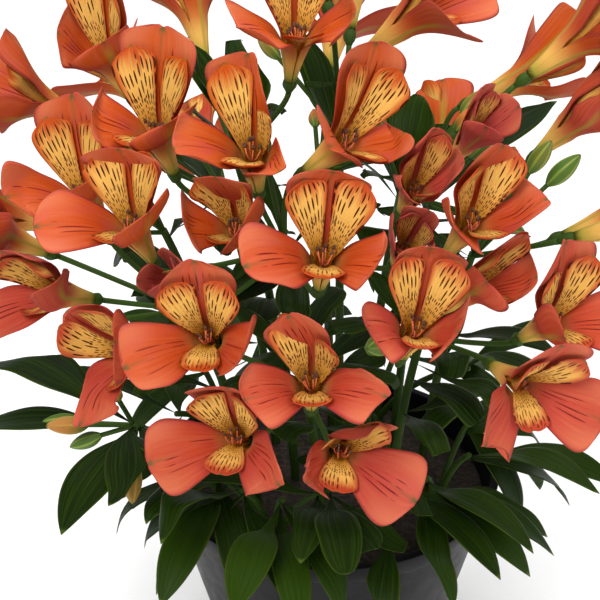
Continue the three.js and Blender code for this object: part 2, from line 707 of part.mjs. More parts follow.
function addLeaf(node, leaves, leaf) {
  const line = growLine(leaf.root, leaf.length, leafWay(leaf), [], 0);
  const middle = line[GROWTH_STEPS / 2];
  const tip = line[GROWTH_STEPS];
  const start = along(leaf.root, leafWay(leaf)(0), 4);
  const near = makeBone(node, start, middle, LEAF_CORE, LEAF_WANT);
  const far = makeBone(node, middle, tip, LEAF_CORE, LEAF_WANT);
  const rim = rimPlane(far);
  const overRim = [middle, tip].every((point) => point.dot(rim.normal) < rim.limit - 1);
  const clear = bones.every((other) => other.node === node
    || (boneGap(near, other) > LEAF_CLEARANCE && boneGap(far, other) > LEAF_CLEARANCE));
  const apart = leaves.every((other) => boneGap(far, other.bones[1]) > LEAF_APART);
  if (overRim && clear && apart) {
    bones.push(near, far);
    leaves.push({ ...leaf, bones: [near, far] });
  }
}

// Tries one leaf after another until enough of them have found room
function fillLeaves(node, leaves, wanted, leafAt) {
  const enough = leaves.length + wanted;
  for (let i = 0; i < LEAF_TRIES * wanted && leaves.length < enough; i += 1) {
    addLeaf(node, leaves, leafAt(i));
  }
}

// A leaf of one kind, with a random size and bend of its own
function newLeaf(kind, root, facing, raised, draw) {
  const yaw = facing + spread(draw, kind.yawSpread);
  const pitch = kind.lift + raised + spread(draw, kind.liftSpread);
  const length = LEAF_LENGTH * between(kind.lengths, draw());
  const width = between(kind.widths, draw());
  const twist = spread(draw, kind.twist);
  return { root, yaw, pitch, droop: pitch - kind.droop, length, width, twist, outline: kind.outline };
}

// A head has a ring of leaves below its blooms, and further leaves down the stem
function addStemLeaves(stem, index) {
  const draw = makeDraw(4600 + 20 * stem.seed + index);
  const curve = new THREE.CatmullRomCurve3(stem.path.slice(1));
  const stemLeaves = stem.leafCount - HEAD_LEAVES;
  fillLeaves(stem.name, stem.leaves, HEAD_LEAVES, (i) => {
    const root = stem.centre.clone().lerp(stem.path[stem.path.length - 2], 0.1 + 0.1 * (i % 2));
    return newLeaf(HEAD_LEAF, root, stem.lon + (i / HEAD_LEAVES - 0.4) * 300, stem.lat * 0.6, draw);
  });
  fillLeaves(stem.name, stem.leaves, stemLeaves, (i) => {
    const root = curve.getPoint(0.3 + 0.6 * (i % stemLeaves) / stemLeaves);
    return newLeaf(STEM_LEAF, root, stem.lon + ((i * GOLDEN_ANGLE + 60) % 240) - 120, 0, draw);
  });
}

function listClumps() {
  return CLUMPS.map((clump, i) => {
    const name = `shoots_${String(i + 1).padStart(2, "0")}`;
    const foot = direction(clump.lon, 0).multiplyScalar(CLUMP_RING_RADIUS).setZ(SOIL_TOP - STEM_DEPTH);
    const crown = foot.clone().setZ(SOIL_TOP + SOIL_MOUND + STEM_CLEAR);
    addBone(name, foot, crown, CLUMP_RADIUS, STALK_WANT);
    const shoots = clump.shoots.map((lon, k) => {
      const draw = makeDraw(6000 + i * 10 + k);
      const tip = direction(lon, 0).multiplyScalar(SHOOT_REACH + spread(draw, 6));
      tip.setZ(SHOOT_RISE + spread(draw, 8));
      const bend = bendPoint(crown, tip, SHOOT_CLIMB);
      const start = foot.clone().setZ(SOIL_TOP + SOIL_MOUND);
      const path = new THREE.QuadraticBezierCurve3(start, bend, tip).getPoints(3);
      addPathBones(name, path, SHOOT_RADIUS);
      return { lon, tip, path };
    });
    return { ...clump, name, foot, crown, shoots, leaves: [] };
  });
}

function addShootLeaves(clump, index) {
  clump.shoots.forEach((shoot, k) => {
    const draw = makeDraw(7000 + 100 * clump.seed + index * 10 + k);
    fillLeaves(clump.name, clump.leaves, clump.leafCount, (i) => {
      const root = shoot.tip.clone().lerp(shoot.path[shoot.path.length - 2], 0.08 + 0.12 * (i % 6));
      const facing = shoot.lon + ((i * GOLDEN_ANGLE + 110) % 220) - 110;
      return newLeaf(SHOOT_LEAF, root, facing, -18 * (i % 4), draw);
    });
  });
}

// The leaves of a stem. One whose way is blocked, so that it stays short, is left out.
function makeLeaves(leaves) {
  const margin = GAP / 2 + LEAF_THICKNESS / 2;
  const solids = [];
  for (const leaf of leaves) {
    const planes = leaf.bones.flatMap((bone) => planesAround(bone));
    const line = growLine(leaf.root, leaf.length, leafWay(leaf), planes, margin + LEAF_SIDE_ROOM);
    const reach = line[GROWTH_STEPS].distanceTo(leaf.root);
    if (reach > SHORTEST_LEAF * leaf.length) solids.push(makeLeaf(leaf, line, planes, margin));
  }
  return solids;
}

// A leaf: elliptic, pointed, with its narrow root sunk in the stem
function makeLeaf(leaf, line, planes, margin) {
  const skin = new Skin();
  const side = new THREE.Vector3().crossVectors(direction(leaf.yaw, 0), UP);
  const { stations, widths } = leaf.outline;
  const before = {};
  const rows = stations.map((station, i) => {
    const at = Math.round(station * GROWTH_STEPS);
    const tangent = line[at].clone().sub(line[Math.max(0, at - 3)]).normalize();
    const across = side.clone().applyAxisAngle(tangent, leaf.twist * RAD * station);
    across.addScaledVector(tangent, -across.dot(tangent)).normalize();
    const normal = new THREE.Vector3().crossVectors(across, tangent);
    const halfWidth = widths[i] * LEAF_HALF_WIDTH * leaf.width;
    const edge = (way) => {
      const wanted = along(along(line[at], across, way * halfWidth), normal, halfWidth * LEAF_CURL);
      const point = besideLine(line[at], wanted, planes, margin, before[way]);
      before[way] = point.clone().sub(line[at]);
      return point;
    };
    return bladeRow(skin, edge(-1), line[at], edge(1), normal, LEAF_THICKNESS);
  });
  bladeTip(skin, rows[0], skin.point(leaf.root), true);
  for (let i = 0; i + 1 < rows.length; i += 1) bladeStrip(skin, rows[i], rows[i + 1]);
  bladeTip(skin, rows[rows.length - 1], skin.point(line[GROWTH_STEPS]), false);
  return skin.solid();
}

// Joins solids into one, and closes the tiny edges that their crossing leaves
function joined(solids) {
  return wasm.Manifold.union(solids).simplify(SMALLEST_EDGE);
}

// Green bodies

// Stalks and buds start a little below the stem's top, each at its own depth
function stalkStart(stem, order) {
  const down = stem.path[stem.path.length - 2].clone().sub(stem.centre).normalize();
  return along(stem.centre, down, STALK_SINK + STALK_SINK_STEP * order);
}

function makeStem(stem) {
  const radii = stem.path.map((_, i) => STEM_RADIUS * (i < stem.path.length - 1 ? 1 : 0.9));
  const solids = [tube(stem.path, radii, STEM_SIDES)];
  stem.stalks.forEach((stalk, i) => {
    const neck = along(stalk.end, stalk.axis, -OVARY_LENGTH * stalk.size);
    const points = [stalkStart(stem, i), stalk.bend, neck, stalk.end];
    const radii = [STALK_START_RADIUS, PEDICEL_RADIUS, PEDICEL_RADIUS, OVARY_RADIUS];
    solids.push(tube(points, radii, STALK_SIDES));
  });
  stem.budList.forEach(({ base, way, size }, i) => {
    const at = (share) => along(base, way, share * BUD_LENGTH * size);
    const radii = [STALK_START_RADIUS, PEDICEL_RADIUS, BUD_RADIUS * size, BUD_TIP_RADIUS];
    const start = stalkStart(stem, stem.stalks.length + i);
    solids.push(tube([start, base, at(BUD_WIDEST), at(1)], radii, STALK_SIDES));
  });
  return joined([...solids, ...makeLeaves(stem.leaves)]);
}

function makeClump(clump) {
  const solids = [tube([clump.foot, clump.crown], [CLUMP_RADIUS, CLUMP_RADIUS], CLUMP_SIDES)];
  for (const { path } of clump.shoots) {
    solids.push(tube(path, path.map(() => SHOOT_RADIUS), STALK_SIDES));
  }
  return joined([...solids, ...makeLeaves(clump.leaves)]);
}

// Every pair of bones of different pieces has to have room for its cores
function checkRoom() {
  const clashes = [];
  bones.forEach((bone, i) => {
    for (const other of bones.slice(i + 1)) {
      const isOwnStalk = bone.a.distanceTo(other.b) < 2 * GAP || bone.b.distanceTo(other.a) < 2 * GAP;
      if (other.node !== bone.node && !isOwnStalk && boneGap(bone, other) < GAP) {
        clashes.push(`${bone.node} and ${other.node} by ${boneGap(bone, other).toFixed(1)}`);
      }
    }
  });
  if (clashes.length > 0) throw new Error(`no room between ${clashes.join(", ")}`);
}

// Assembly
const MATERIALS = {
  pot: new THREE.MeshStandardMaterial({ color: "#26262b", roughness: 0.42, metalness: 0 }),
  soil: new THREE.MeshStandardMaterial({ color: "#2c211a", roughness: 0.95, metalness: 0 }),
  green: new THREE.MeshStandardMaterial({ color: "#2c4f1a", roughness: 0.5, metalness: 0 }),
  coral: new THREE.MeshStandardMaterial({ color: "#e5663f", roughness: 0.6, metalness: 0 }),
};

function addMesh(group, name, solid, material, origin) {
  const { vertProperties, triVerts } = solid.translate([-origin.x, -origin.y, -origin.z]).getMesh();
  const geometry = new THREE.BufferGeometry();
  geometry.setAttribute("position", new THREE.BufferAttribute(new Float32Array(vertProperties), 3));
  geometry.setIndex(new THREE.BufferAttribute(new Uint32Array(triVerts), 1));
  geometry.computeVertexNormals();
  const mesh = new THREE.Mesh(geometry, material);
  mesh.name = name;
  mesh.position.copy(origin);
  group.add(mesh);
}

const blooms = listBlooms();
const stems = listStems(blooms);
const clumps = listClumps();
stems.forEach(addBuds);
clumps.forEach(addShootLeaves);
stems.forEach(addStemLeaves);
checkRoom();

const plant = new THREE.Group();
plant.name = "potted_peruvian_lily";
const roots = [
  ...stems.map(({ foot }) => ({ foot, radius: STEM_RADIUS, sides: STEM_SIDES })),
  ...clumps.map(({ foot }) => ({ foot, radius: CLUMP_RADIUS, sides: CLUMP_SIDES })),
];
addMesh(plant, "pot", makePot(), MATERIALS.pot, new THREE.Vector3());
addMesh(plant, "soil", makeSoil(roots), MATERIALS.soil, new THREE.Vector3(0, 0, POT_FLOOR));
for (const stem of stems) addMesh(plant, stem.name, makeStem(stem), MATERIALS.green, stem.foot);
for (const clump of clumps) addMesh(plant, clump.name, makeClump(clump), MATERIALS.green, clump.foot);
for (const bloom of blooms) addMesh(plant, bloom.name, makeBloom(bloom), MATERIALS.coral, bloom.base);

export default plant;
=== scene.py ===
"""The looks of the potted peruvian lily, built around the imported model: blooms with streaked petals and
curved stamens, ribbed buds, veined leaves, the moulded pot and its soil.

Lengths are in millimetres until a mesh is made. The front faces -Y and up is +Z.
"""

import math
from collections import namedtuple

import bpy
import numpy as np
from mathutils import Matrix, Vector


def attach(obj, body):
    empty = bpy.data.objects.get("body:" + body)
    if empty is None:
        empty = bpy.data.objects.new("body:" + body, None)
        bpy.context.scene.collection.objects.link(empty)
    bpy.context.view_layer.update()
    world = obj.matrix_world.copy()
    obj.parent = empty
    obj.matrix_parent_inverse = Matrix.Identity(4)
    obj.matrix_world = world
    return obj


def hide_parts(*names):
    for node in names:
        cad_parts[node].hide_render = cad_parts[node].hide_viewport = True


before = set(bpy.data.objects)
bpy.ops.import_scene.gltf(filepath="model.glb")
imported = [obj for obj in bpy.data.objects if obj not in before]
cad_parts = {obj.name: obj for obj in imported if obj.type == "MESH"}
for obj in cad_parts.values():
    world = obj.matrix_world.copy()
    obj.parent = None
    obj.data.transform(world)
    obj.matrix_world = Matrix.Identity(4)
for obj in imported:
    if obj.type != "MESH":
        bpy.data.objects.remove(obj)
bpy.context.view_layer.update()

# Driving dimensions of the pot and its soil
POT_HEIGHT = 128
POT_TOP_RADIUS = 85
POT_BASE_RADIUS = 51
POT_WALL = 2.4
POT_FLOOR = 3
RIM_BAND_HEIGHT = 11
RIM_BAND_STEP = 2
RIM_ROUND = 0.8
DRAIN_HOLES = 6
DRAIN_HOLE_RADIUS = 4.5
DRAIN_RING_RADIUS = 32
SOIL_TOP = 115
SOIL_MOUND = 2.5
SOIL_LUMPS = 0.9
STEM_DEPTH = 26
GAP = 0.3

# The dome that the throats of the blooms lie on, how deep in it the heads stand, as shares of its
# size, and how much the blooms and leaves follow its latitude upwards
DOME_CENTRE = np.array([-8.0, 0.0, 222.0])
DOME_RADIUS = 146
DOME_HEIGHT = 165
HEAD_DEPTH = 0.56
FLOWERLESS_DEPTH = 0.74
LIFT_SHARE = 0.6

# Driving dimensions of a full-sized bloom
FUNNEL_LENGTH = 22
THROAT_RADIUS = 6.5
FUNNEL_BASE_RADIUS = 2.6
PETAL_THICKNESS = 1.3
GROWTH_STEPS = 24
BLOOM_BONE_END = 4
BLOOM_CORE = 8
BLOOM_WANT = 30

# Driving dimensions of the green parts
STEM_RADIUS = 2.3
STEM_CLEAR = 6
STEM_LEAN = 0.35
STEM_CLIMB = 0.62
SHOOT_CLIMB = 0.7
SHOOT_RADIUS = 1.8
CLUMP_RADIUS = 5
PEDICEL_RADIUS = 1.25
PEDICEL_BEND = 18
PEDICEL_BEND_SHARE = 0.4
STALK_SINK = 1.3
STALK_SINK_STEP = 0.37
OVARY_RADIUS = 3
OVARY_LENGTH = 8
RIBS = 6
BUD_RADIUS = 4.6
BUD_LENGTH = 21
BUD_STALK = 44
BUD_SHORT_STALK = 20
BUD_STALK_SHARES = (0.8, 1.2)
BUD_SIZES = (0.7, 1.05)
BUD_TILTS = (8, 70)
BUD_TRIES = 60
BUD_RISE = 30
BUD_BONE_START = 10
BUD_CLEARANCE = 2
BUD_STALK_CLEARANCE = 1
BUD_APART = 2.4
BUD_TO_BLOOM = 14
LEAF_LENGTH = 62
LEAF_HALF_WIDTH = 10
LEAF_THICKNESS = 1.2
LEAF_BONE_START = 4
LEAF_CORE = 1.2
LEAF_WANT = 7
LEAF_CLEARANCE = 1.6
LEAF_APART = 10
LEAF_TRIES = 4
SHORTEST_LEAF = 0.6
STALK_WANT = 1

# The kinds of leaves: under the blooms, down the stems and on the low shoots. Lengths and widths
# are shares of the driving dimensions, from the least to the most, and the rest is in degrees.
# The green tint is 1 for the palest green. Its low values for the leaves under the blooms and down the
# stems are partly the leaves' own darker green and partly painted shade of the plant's dark inside.
HEAD_LEAF = {
    "lengths": (1, 1.3), "widths": (1.15, 1.5), "yaw_spread": 20, "lift": 26, "lift_spread": 16,
    "droop": 36, "twist": 25, "fresh": 0.15,
}
STEM_LEAF = {
    "lengths": (0.85, 1.15), "widths": (0.85, 1.15), "yaw_spread": 15, "lift": 30, "lift_spread": 14,
    "droop": 62, "twist": 25, "fresh": 0.2,
}
SHOOT_LEAF = {
    "lengths": (0.9, 1.2), "widths": (0.85, 1.15), "yaw_spread": 10, "lift": 38, "lift_spread": 10,
    "droop": 60, "twist": 20, "fresh": 0.35,
}

# How far from a bone its neighbours are looked for, how far a blade's side may be turned, in
# degrees, and how near to a plane a point has to be before the plane presses on it
REACH = 75
LARGEST_TURN = 40
PRESS_SLACK = 12

# How much further than its sides a blade's middle line stays from its neighbours
PETAL_SIDE_ROOM = 2.2
LEAF_SIDE_ROOM = 0.8

# Half the thickness of the sheets that are seen
PETAL_SHEET = 0.24
LEAF_SHEET = 0.2

# The petals of a bloom, seen from its face: the angle runs clockwise from its upper petal.
# The flares are the angles between the petal and the bloom's axis at the throat, at mid length
# and at the tip. The half widths belong to the stations along the blade. The arc is how far the
# sides bend up, in the claw and in the blade. The claw starts at a share of the funnel, and it has
# a radius there and one at the throat.
LOWER_HALF_WIDTHS = [7.0, 9.2, 12.4, 15.8, 17.6, 17.0, 14.4, 10.8, 3.0]
PAIR_HALF_WIDTHS = [3.4, 4.4, 6.4, 8.8, 10.0, 9.2, 7.0, 2.2]
OUTER_PETALS = {
    "angles": [0, 116, 244],
    "lengths": [45, 39, 39],
    "flares": [[12, 37, 50], [20, 58, 80], [20, 58, 80]],
    "stations": [0, 0.2, 0.4, 0.6, 0.74, 0.86, 0.93, 0.97, 1],
    "half_widths": [
        [7.0, 9.8, 13.4, 16.6, 18.2, 17.4, 14.8, 11.0, 3.0],
        LOWER_HALF_WIDTHS,
        LOWER_HALF_WIDTHS,
    ],
    "notch": [0.08, 0.05, 0.05],
    "notch_width": 0.35,
    "arc": [62, 19],
    "claw": [0.0, FUNNEL_BASE_RADIUS, THROAT_RADIUS],
    "ring_rise": 0.96,
    "inset": 0,
}
INNER_PETALS = {
    "angles": [33, 183, 333],
    "lengths": [37, 22, 37],
    "flares": [[10, 35, 46], [18, 48, 36], [10, 35, 46]],
    "stations": [0, 0.2, 0.4, 0.6, 0.8, 0.9, 0.96, 1],
    "half_widths": [
        PAIR_HALF_WIDTHS,
        [3.4, 4.8, 7.0, 8.6, 9.0, 8.2, 6.6, 2.6],
        PAIR_HALF_WIDTHS,
    ],
    "notch": [0, 0.1, 0],
    "notch_width": 0.5,
    "arc": [58, 25],
    "claw": [0.25, 1.3, 4.0],
    "ring_rise": 1,
    "inset": 0.5,
}

# The open blooms of the front. Longitude runs from the front to the right, latitude up the dome,
# and out is how far the throat stands off the dome. Yaw and pitch say where the bloom faces, roll
# turns it about its own axis, and open is 1 in full bloom. Pink is 1 in the oldest blooms.
BLOOM_FACTS = ("lon", "lat", "out", "yaw", "pitch", "roll", "open", "size", "pink")
FRONT_BLOOMS = [
    (-13, 7, 4, -18, 36, -4, 1, 1, 0.35),
    (4, 4, -4, 6, 32, 12, 1, 1.02, 0.45),
    (-1, 17, 16, 0, 55, -3, 0.95, 1, 0.3),
    (-18, 22, 12, -10, 38, -6, 0.95, 1, 0.15),
    (-32, 17, 8, -42, 26, -58, 0.95, 1.06, 0.4),
    (-58, 34, -2, -40, 62, -24, 0.95, 1.06, 0.1),
    (-69, 22, 14, -50, 36, -40, 0.95, 1.06, 0.3),
    (-57, 18, -2, -38, 30, -24, 0.95, 1.06, 0.5),
    (-36, 34, 12, -30, 58, -10, 1, 1.04, 0.1),
    (-42, 48, 6, -26, 60, 0, 1, 1.08, 0.05),
    (-100, 34, 12, -66, 36, 10, 0.95, 1.04, 0.2),
    (-92, 50, 2, -44, 60, -10, 0.95, 1.06, 0.1),
    (-16, 49, 4, -8, 60, 2, 1, 1.1, 0.05),
    (-12, 72, 2, 14, 68, 0, 0.95, 1.06, 0.1),
    (6, 52, 0, 58, 44, 28, 0.95, 1.06, 0.1),
    (1, 34, 6, 6, 56, 6, 1, 1.06, 0.2),
    (-18, 38, -6, -22, 50, -4, 0.75, 0.97, 0.1),
    (31, 36, 6, 34, 54, 12, 0.95, 1.02, 0.25),
    (24, 44, -8, 18, 50, 0, 0.5, 0.9, 0.5),
    (16, 23, 10, 18, 56, 14, 0.95, 1, 0.35),
    (33, 26, -12, 52, 46, 20, 0.8, 0.96, 0.3),
    (48, 16, -4, 34, 42, 0, 1, 1.02, 0.3),
    (34, 12, 10, 24, 10, 4, 1, 1, 0.45),
    (58, 72, 2, 74, 44, 0, 0.75, 1.1, 0.2),
    (90, 47, 24, 90, 40, 0, 0.9, 1.06, 0.2),
    (96, 34, 0, 64, 50, 0, 0.6, 1.06, 0.3),
    (74, 22, 12, 80, 20, 0, 0.95, 1.06, 0.35),
    (19, 35, -10, 12, 44, 30, 0.3, 0.86, 1),
    (44, 49, -4, 30, 50, -20, 0.25, 0.82, 1),
    (-29, 27, -12, -30, 44, 15, 0.3, 0.84, 0.9),
]

# The blooms on the sides and at the back follow a spiral over the rest of the dome. It starts at
# the sine of a latitude and goes down by a range of it. The blooms wander from it by up to these
# distances and angles.
BACK_SPIRAL_POINTS = 70
BACK_TOP_SINE = 0.98
BACK_SINE_RANGE = 0.92
BACK_WANDER = {"out": 6, "yaw": 20, "pitch": 14, "roll": 30}
BACK_LIFT = 8
BACK_PINK = 0.4
BACK_SPACING = 55
BACK_OPEN = (0.8, 1)
BACK_SIZES = (1, 1.08)
GOLDEN_ANGLE = 137.508

# The flower heads, each on a leafy stem of its own. The last one has only buds as yet.
HEAD_FACTS = ("lon", "lat", "root", "buds", "leaf_count", "seed", "flowerless")
HEADS = [
    (-5, 6, 46, 1, 10, 0, False),
    (38, 14, 46, 1, 12, 1, False),
    (-52, 18, 46, 1, 12, 7, False),
    (84, 22, 46, 3, 10, 0, False),
    (-98, 24, 46, 2, 11, 0, False),
    (132, 20, 46, 2, 6, 0, False),
    (178, 20, 46, 2, 6, 0, False),
    (-142, 22, 46, 2, 6, 2, False),
    (-14, 44, 18, 1, 12, 0, False),
    (60, 56, 18, 4, 11, 0, False),
    (-96, 62, 18, 1, 9, 2, False),
    (164, 58, 18, 2, 6, 0, False),
    (-56, -14, 60, 6, 6, 3, True),
]
HEAD_LEAVES = 6

# The fans that the leaves of a head, a stem and a shoot spread over, in degrees
HEAD_FAN = 300
STEM_FAN = 240
SHOOT_FAN = 220

# The low shoots without flowers, in clumps that share one root: the clump's own longitude, those
# of its shoots, how many leaves each shoot has, and the seed of their random draws
CLUMPS = [
    (-28, [-50, -34, -17, 0], 5, 0),
    (60, [17, 34, 54, 76], 5, 7),
    (155, [112, 152, 192], 3, 0),
    (-120, [-92, -124, -156], 3, 0),
]
CLUMP_RING_RADIUS = 60
SHOOT_RISE = 162
SHOOT_REACH = 78

# Where the seeds of each kind of part begin
BACK_SEED = 500
BUD_SEED = 2000
STEM_LEAF_SEED = 4600
SHOOT_SEED = 6000
SHOOT_LEAF_SEED = 7000
BLOOM_FINISH_SEED = 9000
STEM_FINISH_SEED = 9500
CLUMP_FINISH_SEED = 9700
SOIL_SEED = 77

RAD = math.pi / 180
TINY = 1e-9
UP = np.array([0.0, 0.0, 1.0])


# Random numbers that are the same in every run
def make_draw(seed):
    state = (seed * 7919 + 12345) % 2**32

    def draw():
        nonlocal state
        state = (state * 1664525 + 1013904223) % 2**32
        return state / 2**32

    draw()
    draw()
    return draw


def spread(draw, amount):
    return (draw() * 2 - 1) * amount


def mix(a, b, share):
    return a + (b - a) * share


def between(limits, share):
    return mix(limits[0], limits[1], share)


def unit(way):
    return way / np.linalg.norm(way, axis=-1, keepdims=True)


def direction(yaw, pitch):
    level = math.cos(pitch * RAD)
    return np.array([math.sin(yaw * RAD) * level, -math.cos(yaw * RAD) * level, math.sin(pitch * RAD)])


def turned(way, axis, angle):
    """A way turned about an axis, by an angle in radians."""
    cosine = math.cos(angle)
    return way * cosine + np.cross(axis, way) * math.sin(angle) + axis * (axis @ way) * (1 - cosine)


def at_height(point, z):
    return np.array([point[0], point[1], z])


def dome_point(lon, lat, out=0, depth=1):
    radius = (DOME_RADIUS + out) * depth
    height = (DOME_HEIGHT + out) * depth
    return direction(lon, lat) * [radius, radius, height] + DOME_CENTRE


# Bones. Every bloom, stem, stalk, bud and leaf has a straight bone. The core is the radius that
# it needs around the bone, and want is the room that it would like to have.
Bone = namedtuple("Bone", "node a b core want")
bones = []


def add_bone(*values):
    bone = Bone(*values)
    bones.append(bone)
    return bone


def closest(bone, others):
    """The nearest points of a bone and of each of the others, as two arrays."""
    starts = np.array([other.a for other in others])
    u = bone.b - bone.a
    v = np.array([other.b for other in others]) - starts
    w = bone.a - starts
    uu = u @ u
    uv = v @ u
    vv = (v * v).sum(1)
    uw = w @ u
    vw = (v * w).sum(1)
    det = uu * vv - uv * uv
    s = np.where(det > TINY, np.clip((uv * vw - vv * uw) / np.maximum(det, TINY), 0, 1), 0)
    t = np.clip((uv * s + vw) / vv, 0, 1)
    s = np.clip((uv * t - uw) / uu, 0, 1)
    return bone.a + s[:, None] * u, starts + t[:, None] * v


def bone_gaps(bone, others):
    on_bone, on_others = closest(bone, others)
    cores = np.array([other.core for other in others])
    return np.linalg.norm(on_others - on_bone, axis=1) - bone.core - cores


def others_than(node):
    return [other for other in bones if other.node != node]


def rim_plane(bone):
    """The plane that keeps a leaf above the pot's rim, on the side that the leaf points to."""
    outward = unit(np.array([bone.b[0], bone.b[1], 0.0]))
    normal = -unit(outward + UP)
    rim = at_height(outward * (POT_TOP_RADIUS + RIM_BAND_STEP), POT_HEIGHT)
    return normal, rim @ normal - GAP


def planes_around(bone):
    """Normals and limits of the planes between a bone and its neighbours, and over the pot's rim."""
    others = others_than(bone.node)
    on_bone, on_others = closest(bone, others)
    gaps = bone_gaps(bone, others)
    near = gaps < REACH
    wants = np.array([other.want for other in others])
    normals = unit(on_others[near] - on_bone[near])
    room = bone.core + (gaps[near] - GAP) * bone.want / (bone.want + wants[near])
    limits = (on_bone[near] * normals).sum(1) + room
    rim_normal, rim_limit = rim_plane(bone)
    return np.vstack([normals, rim_normal]), np.append(limits, rim_limit)


def share_inside(start, end, planes, margin):
    """How far from points inside the planes one can go towards other points."""
    normals, limits = planes
    level = start @ normals.T
    rise = end @ normals.T - level
    room = limits - margin - level
    crossing = (rise > room) & (rise > TINY)
    share = np.where(crossing, np.maximum(room, 0) / np.maximum(rise, TINY), 1)
    return share.min(axis=-1)


def press_inside(points, planes, margin):
    normals, limits = planes
    limits = limits - margin
    near = (points @ normals.T - limits > -PRESS_SLACK).any(axis=0)
    for k in np.flatnonzero(near):
        over = np.maximum(points @ normals[k] - limits[k], 0)
        points = points - over[:, None] * normals[k]
    return points


def grow_line(start, length, way_at, planes, margin):
    """Draws a line step by step. A step that would cross a plane is turned along it."""
    points = [start]
    for i in range(GROWTH_STEPS):
        step = way_at((i + 0.5) / GROWTH_STEPS) * length / GROWTH_STEPS
        ahead = points[i] + step
        if planes is not None:
            ahead = press_inside(ahead[None], planes, margin)[0]
            ahead = mix(points[i], ahead, share_inside(points[i], ahead, planes, margin))
        points.append(ahead)
    return np.array(points)


def beside_line(middle, wanted, planes, margin):
    """A grid of points beside a line, pressed onto the planes that they would cross. Where that
    would turn the blade too far, the point keeps its way from the line and is cut short."""
    grid = wanted.shape
    middle = np.broadcast_to(middle, grid).reshape(-1, 3)
    wanted = wanted.reshape(-1, 3)
    pressed = wanted
    for _ in range(3):
        pressed = press_inside(pressed, planes, margin)
    before = wanted - middle
    after = pressed - middle
    lengths = np.linalg.norm(before, axis=1) * np.linalg.norm(after, axis=1)
    cosine = (before * after).sum(1) / np.maximum(lengths, TINY)
    keeps = cosine > math.cos(LARGEST_TURN * RAD)
    goal = np.where(keeps[:, None], pressed, wanted)
    shares = share_inside(middle, goal, planes, margin)
    return (middle + (goal - middle) * shares[:, None]).reshape(grid)


def bezier(a, b, c, count):
    t = np.linspace(0, 1, count + 1)[:, None]
    return a * (1 - t) ** 2 + b * 2 * t * (1 - t) + c * t**2


def rounded_path_point(points, share):
    """A point on the smooth curve through the points, at a share of their count."""
    last = len(points) - 1
    index = min(int(last * share), last - 1)
    weight = last * share - index
    longer = [2 * points[0] - points[1], *points, 2 * points[-1] - points[-2]]
    p0, p1, p2, p3 = longer[index:index + 4]
    d0, d1, d2 = (math.sqrt(np.linalg.norm(b - a)) for a, b in ((p0, p1), (p1, p2), (p2, p3)))
    slope1 = ((p1 - p0) / d0 - (p2 - p0) / (d0 + d1) + (p2 - p1) / d1) * d1
    slope2 = ((p2 - p1) / d1 - (p3 - p1) / (d1 + d2) + (p3 - p2) / d2) * d1
    square = -3 * p1 + 3 * p2 - 2 * slope1 - slope2
    cube = 2 * p1 - 2 * p2 + slope1 + slope2
    return p1 + slope1 * weight + square * weight**2 + cube * weight**3


# The layout of the plant
def list_blooms():
    blooms = []
    for values in FRONT_BLOOMS:
        bloom = dict(zip(BLOOM_FACTS, values))
        blooms.append({**bloom, "throat": dome_point(bloom["lon"], bloom["lat"], bloom["out"])})
    for i in range(BACK_SPIRAL_POINTS):
        draw = make_draw(BACK_SEED + i)
        lat = math.asin(BACK_TOP_SINE - BACK_SINE_RANGE * (i + 0.5) / BACK_SPIRAL_POINTS) / RAD
        lon = (i * GOLDEN_ANGLE) % 360 - 180
        throat = dome_point(lon, lat, spread(draw, BACK_WANDER["out"]))
        yaw = lon + spread(draw, BACK_WANDER["yaw"])
        pitch = lat * LIFT_SHARE + BACK_LIFT + spread(draw, BACK_WANDER["pitch"])
        roll = spread(draw, BACK_WANDER["roll"])
        opened = between(BACK_OPEN, draw())
        size = between(BACK_SIZES, draw())
        if all(np.linalg.norm(other["throat"] - throat) > BACK_SPACING for other in blooms):
            values = (lon, lat, 0, yaw, pitch, roll, opened, size, BACK_PINK * draw())
            blooms.append({**dict(zip(BLOOM_FACTS, values)), "throat": throat})
    for i, bloom in enumerate(blooms):
        bloom["name"] = f"bloom_{i + 1:02d}"
        axis = direction(bloom["yaw"], bloom["pitch"])
        side = unit(np.cross(axis, UP))
        bloom["axis"] = axis
        bloom["base"] = bloom["throat"] - axis * FUNNEL_LENGTH * bloom["size"]
        bloom["upright"] = turned(np.cross(side, axis), axis, -bloom["roll"] * RAD)
        ends = (bloom["base"] + axis * GAP, bloom["throat"] + axis * BLOOM_BONE_END)
        bloom["bone"] = add_bone(bloom["name"], *ends, BLOOM_CORE, BLOOM_WANT * bloom["open"])
    return blooms


def bend_point(foot, head, rise):
    return at_height(mix(foot, head, STEM_LEAN), mix(foot[2], head[2], rise))


def add_path_bones(node, path, radius):
    for start, end in zip(path, path[1:]):
        add_bone(node, start, end, radius, STALK_WANT)


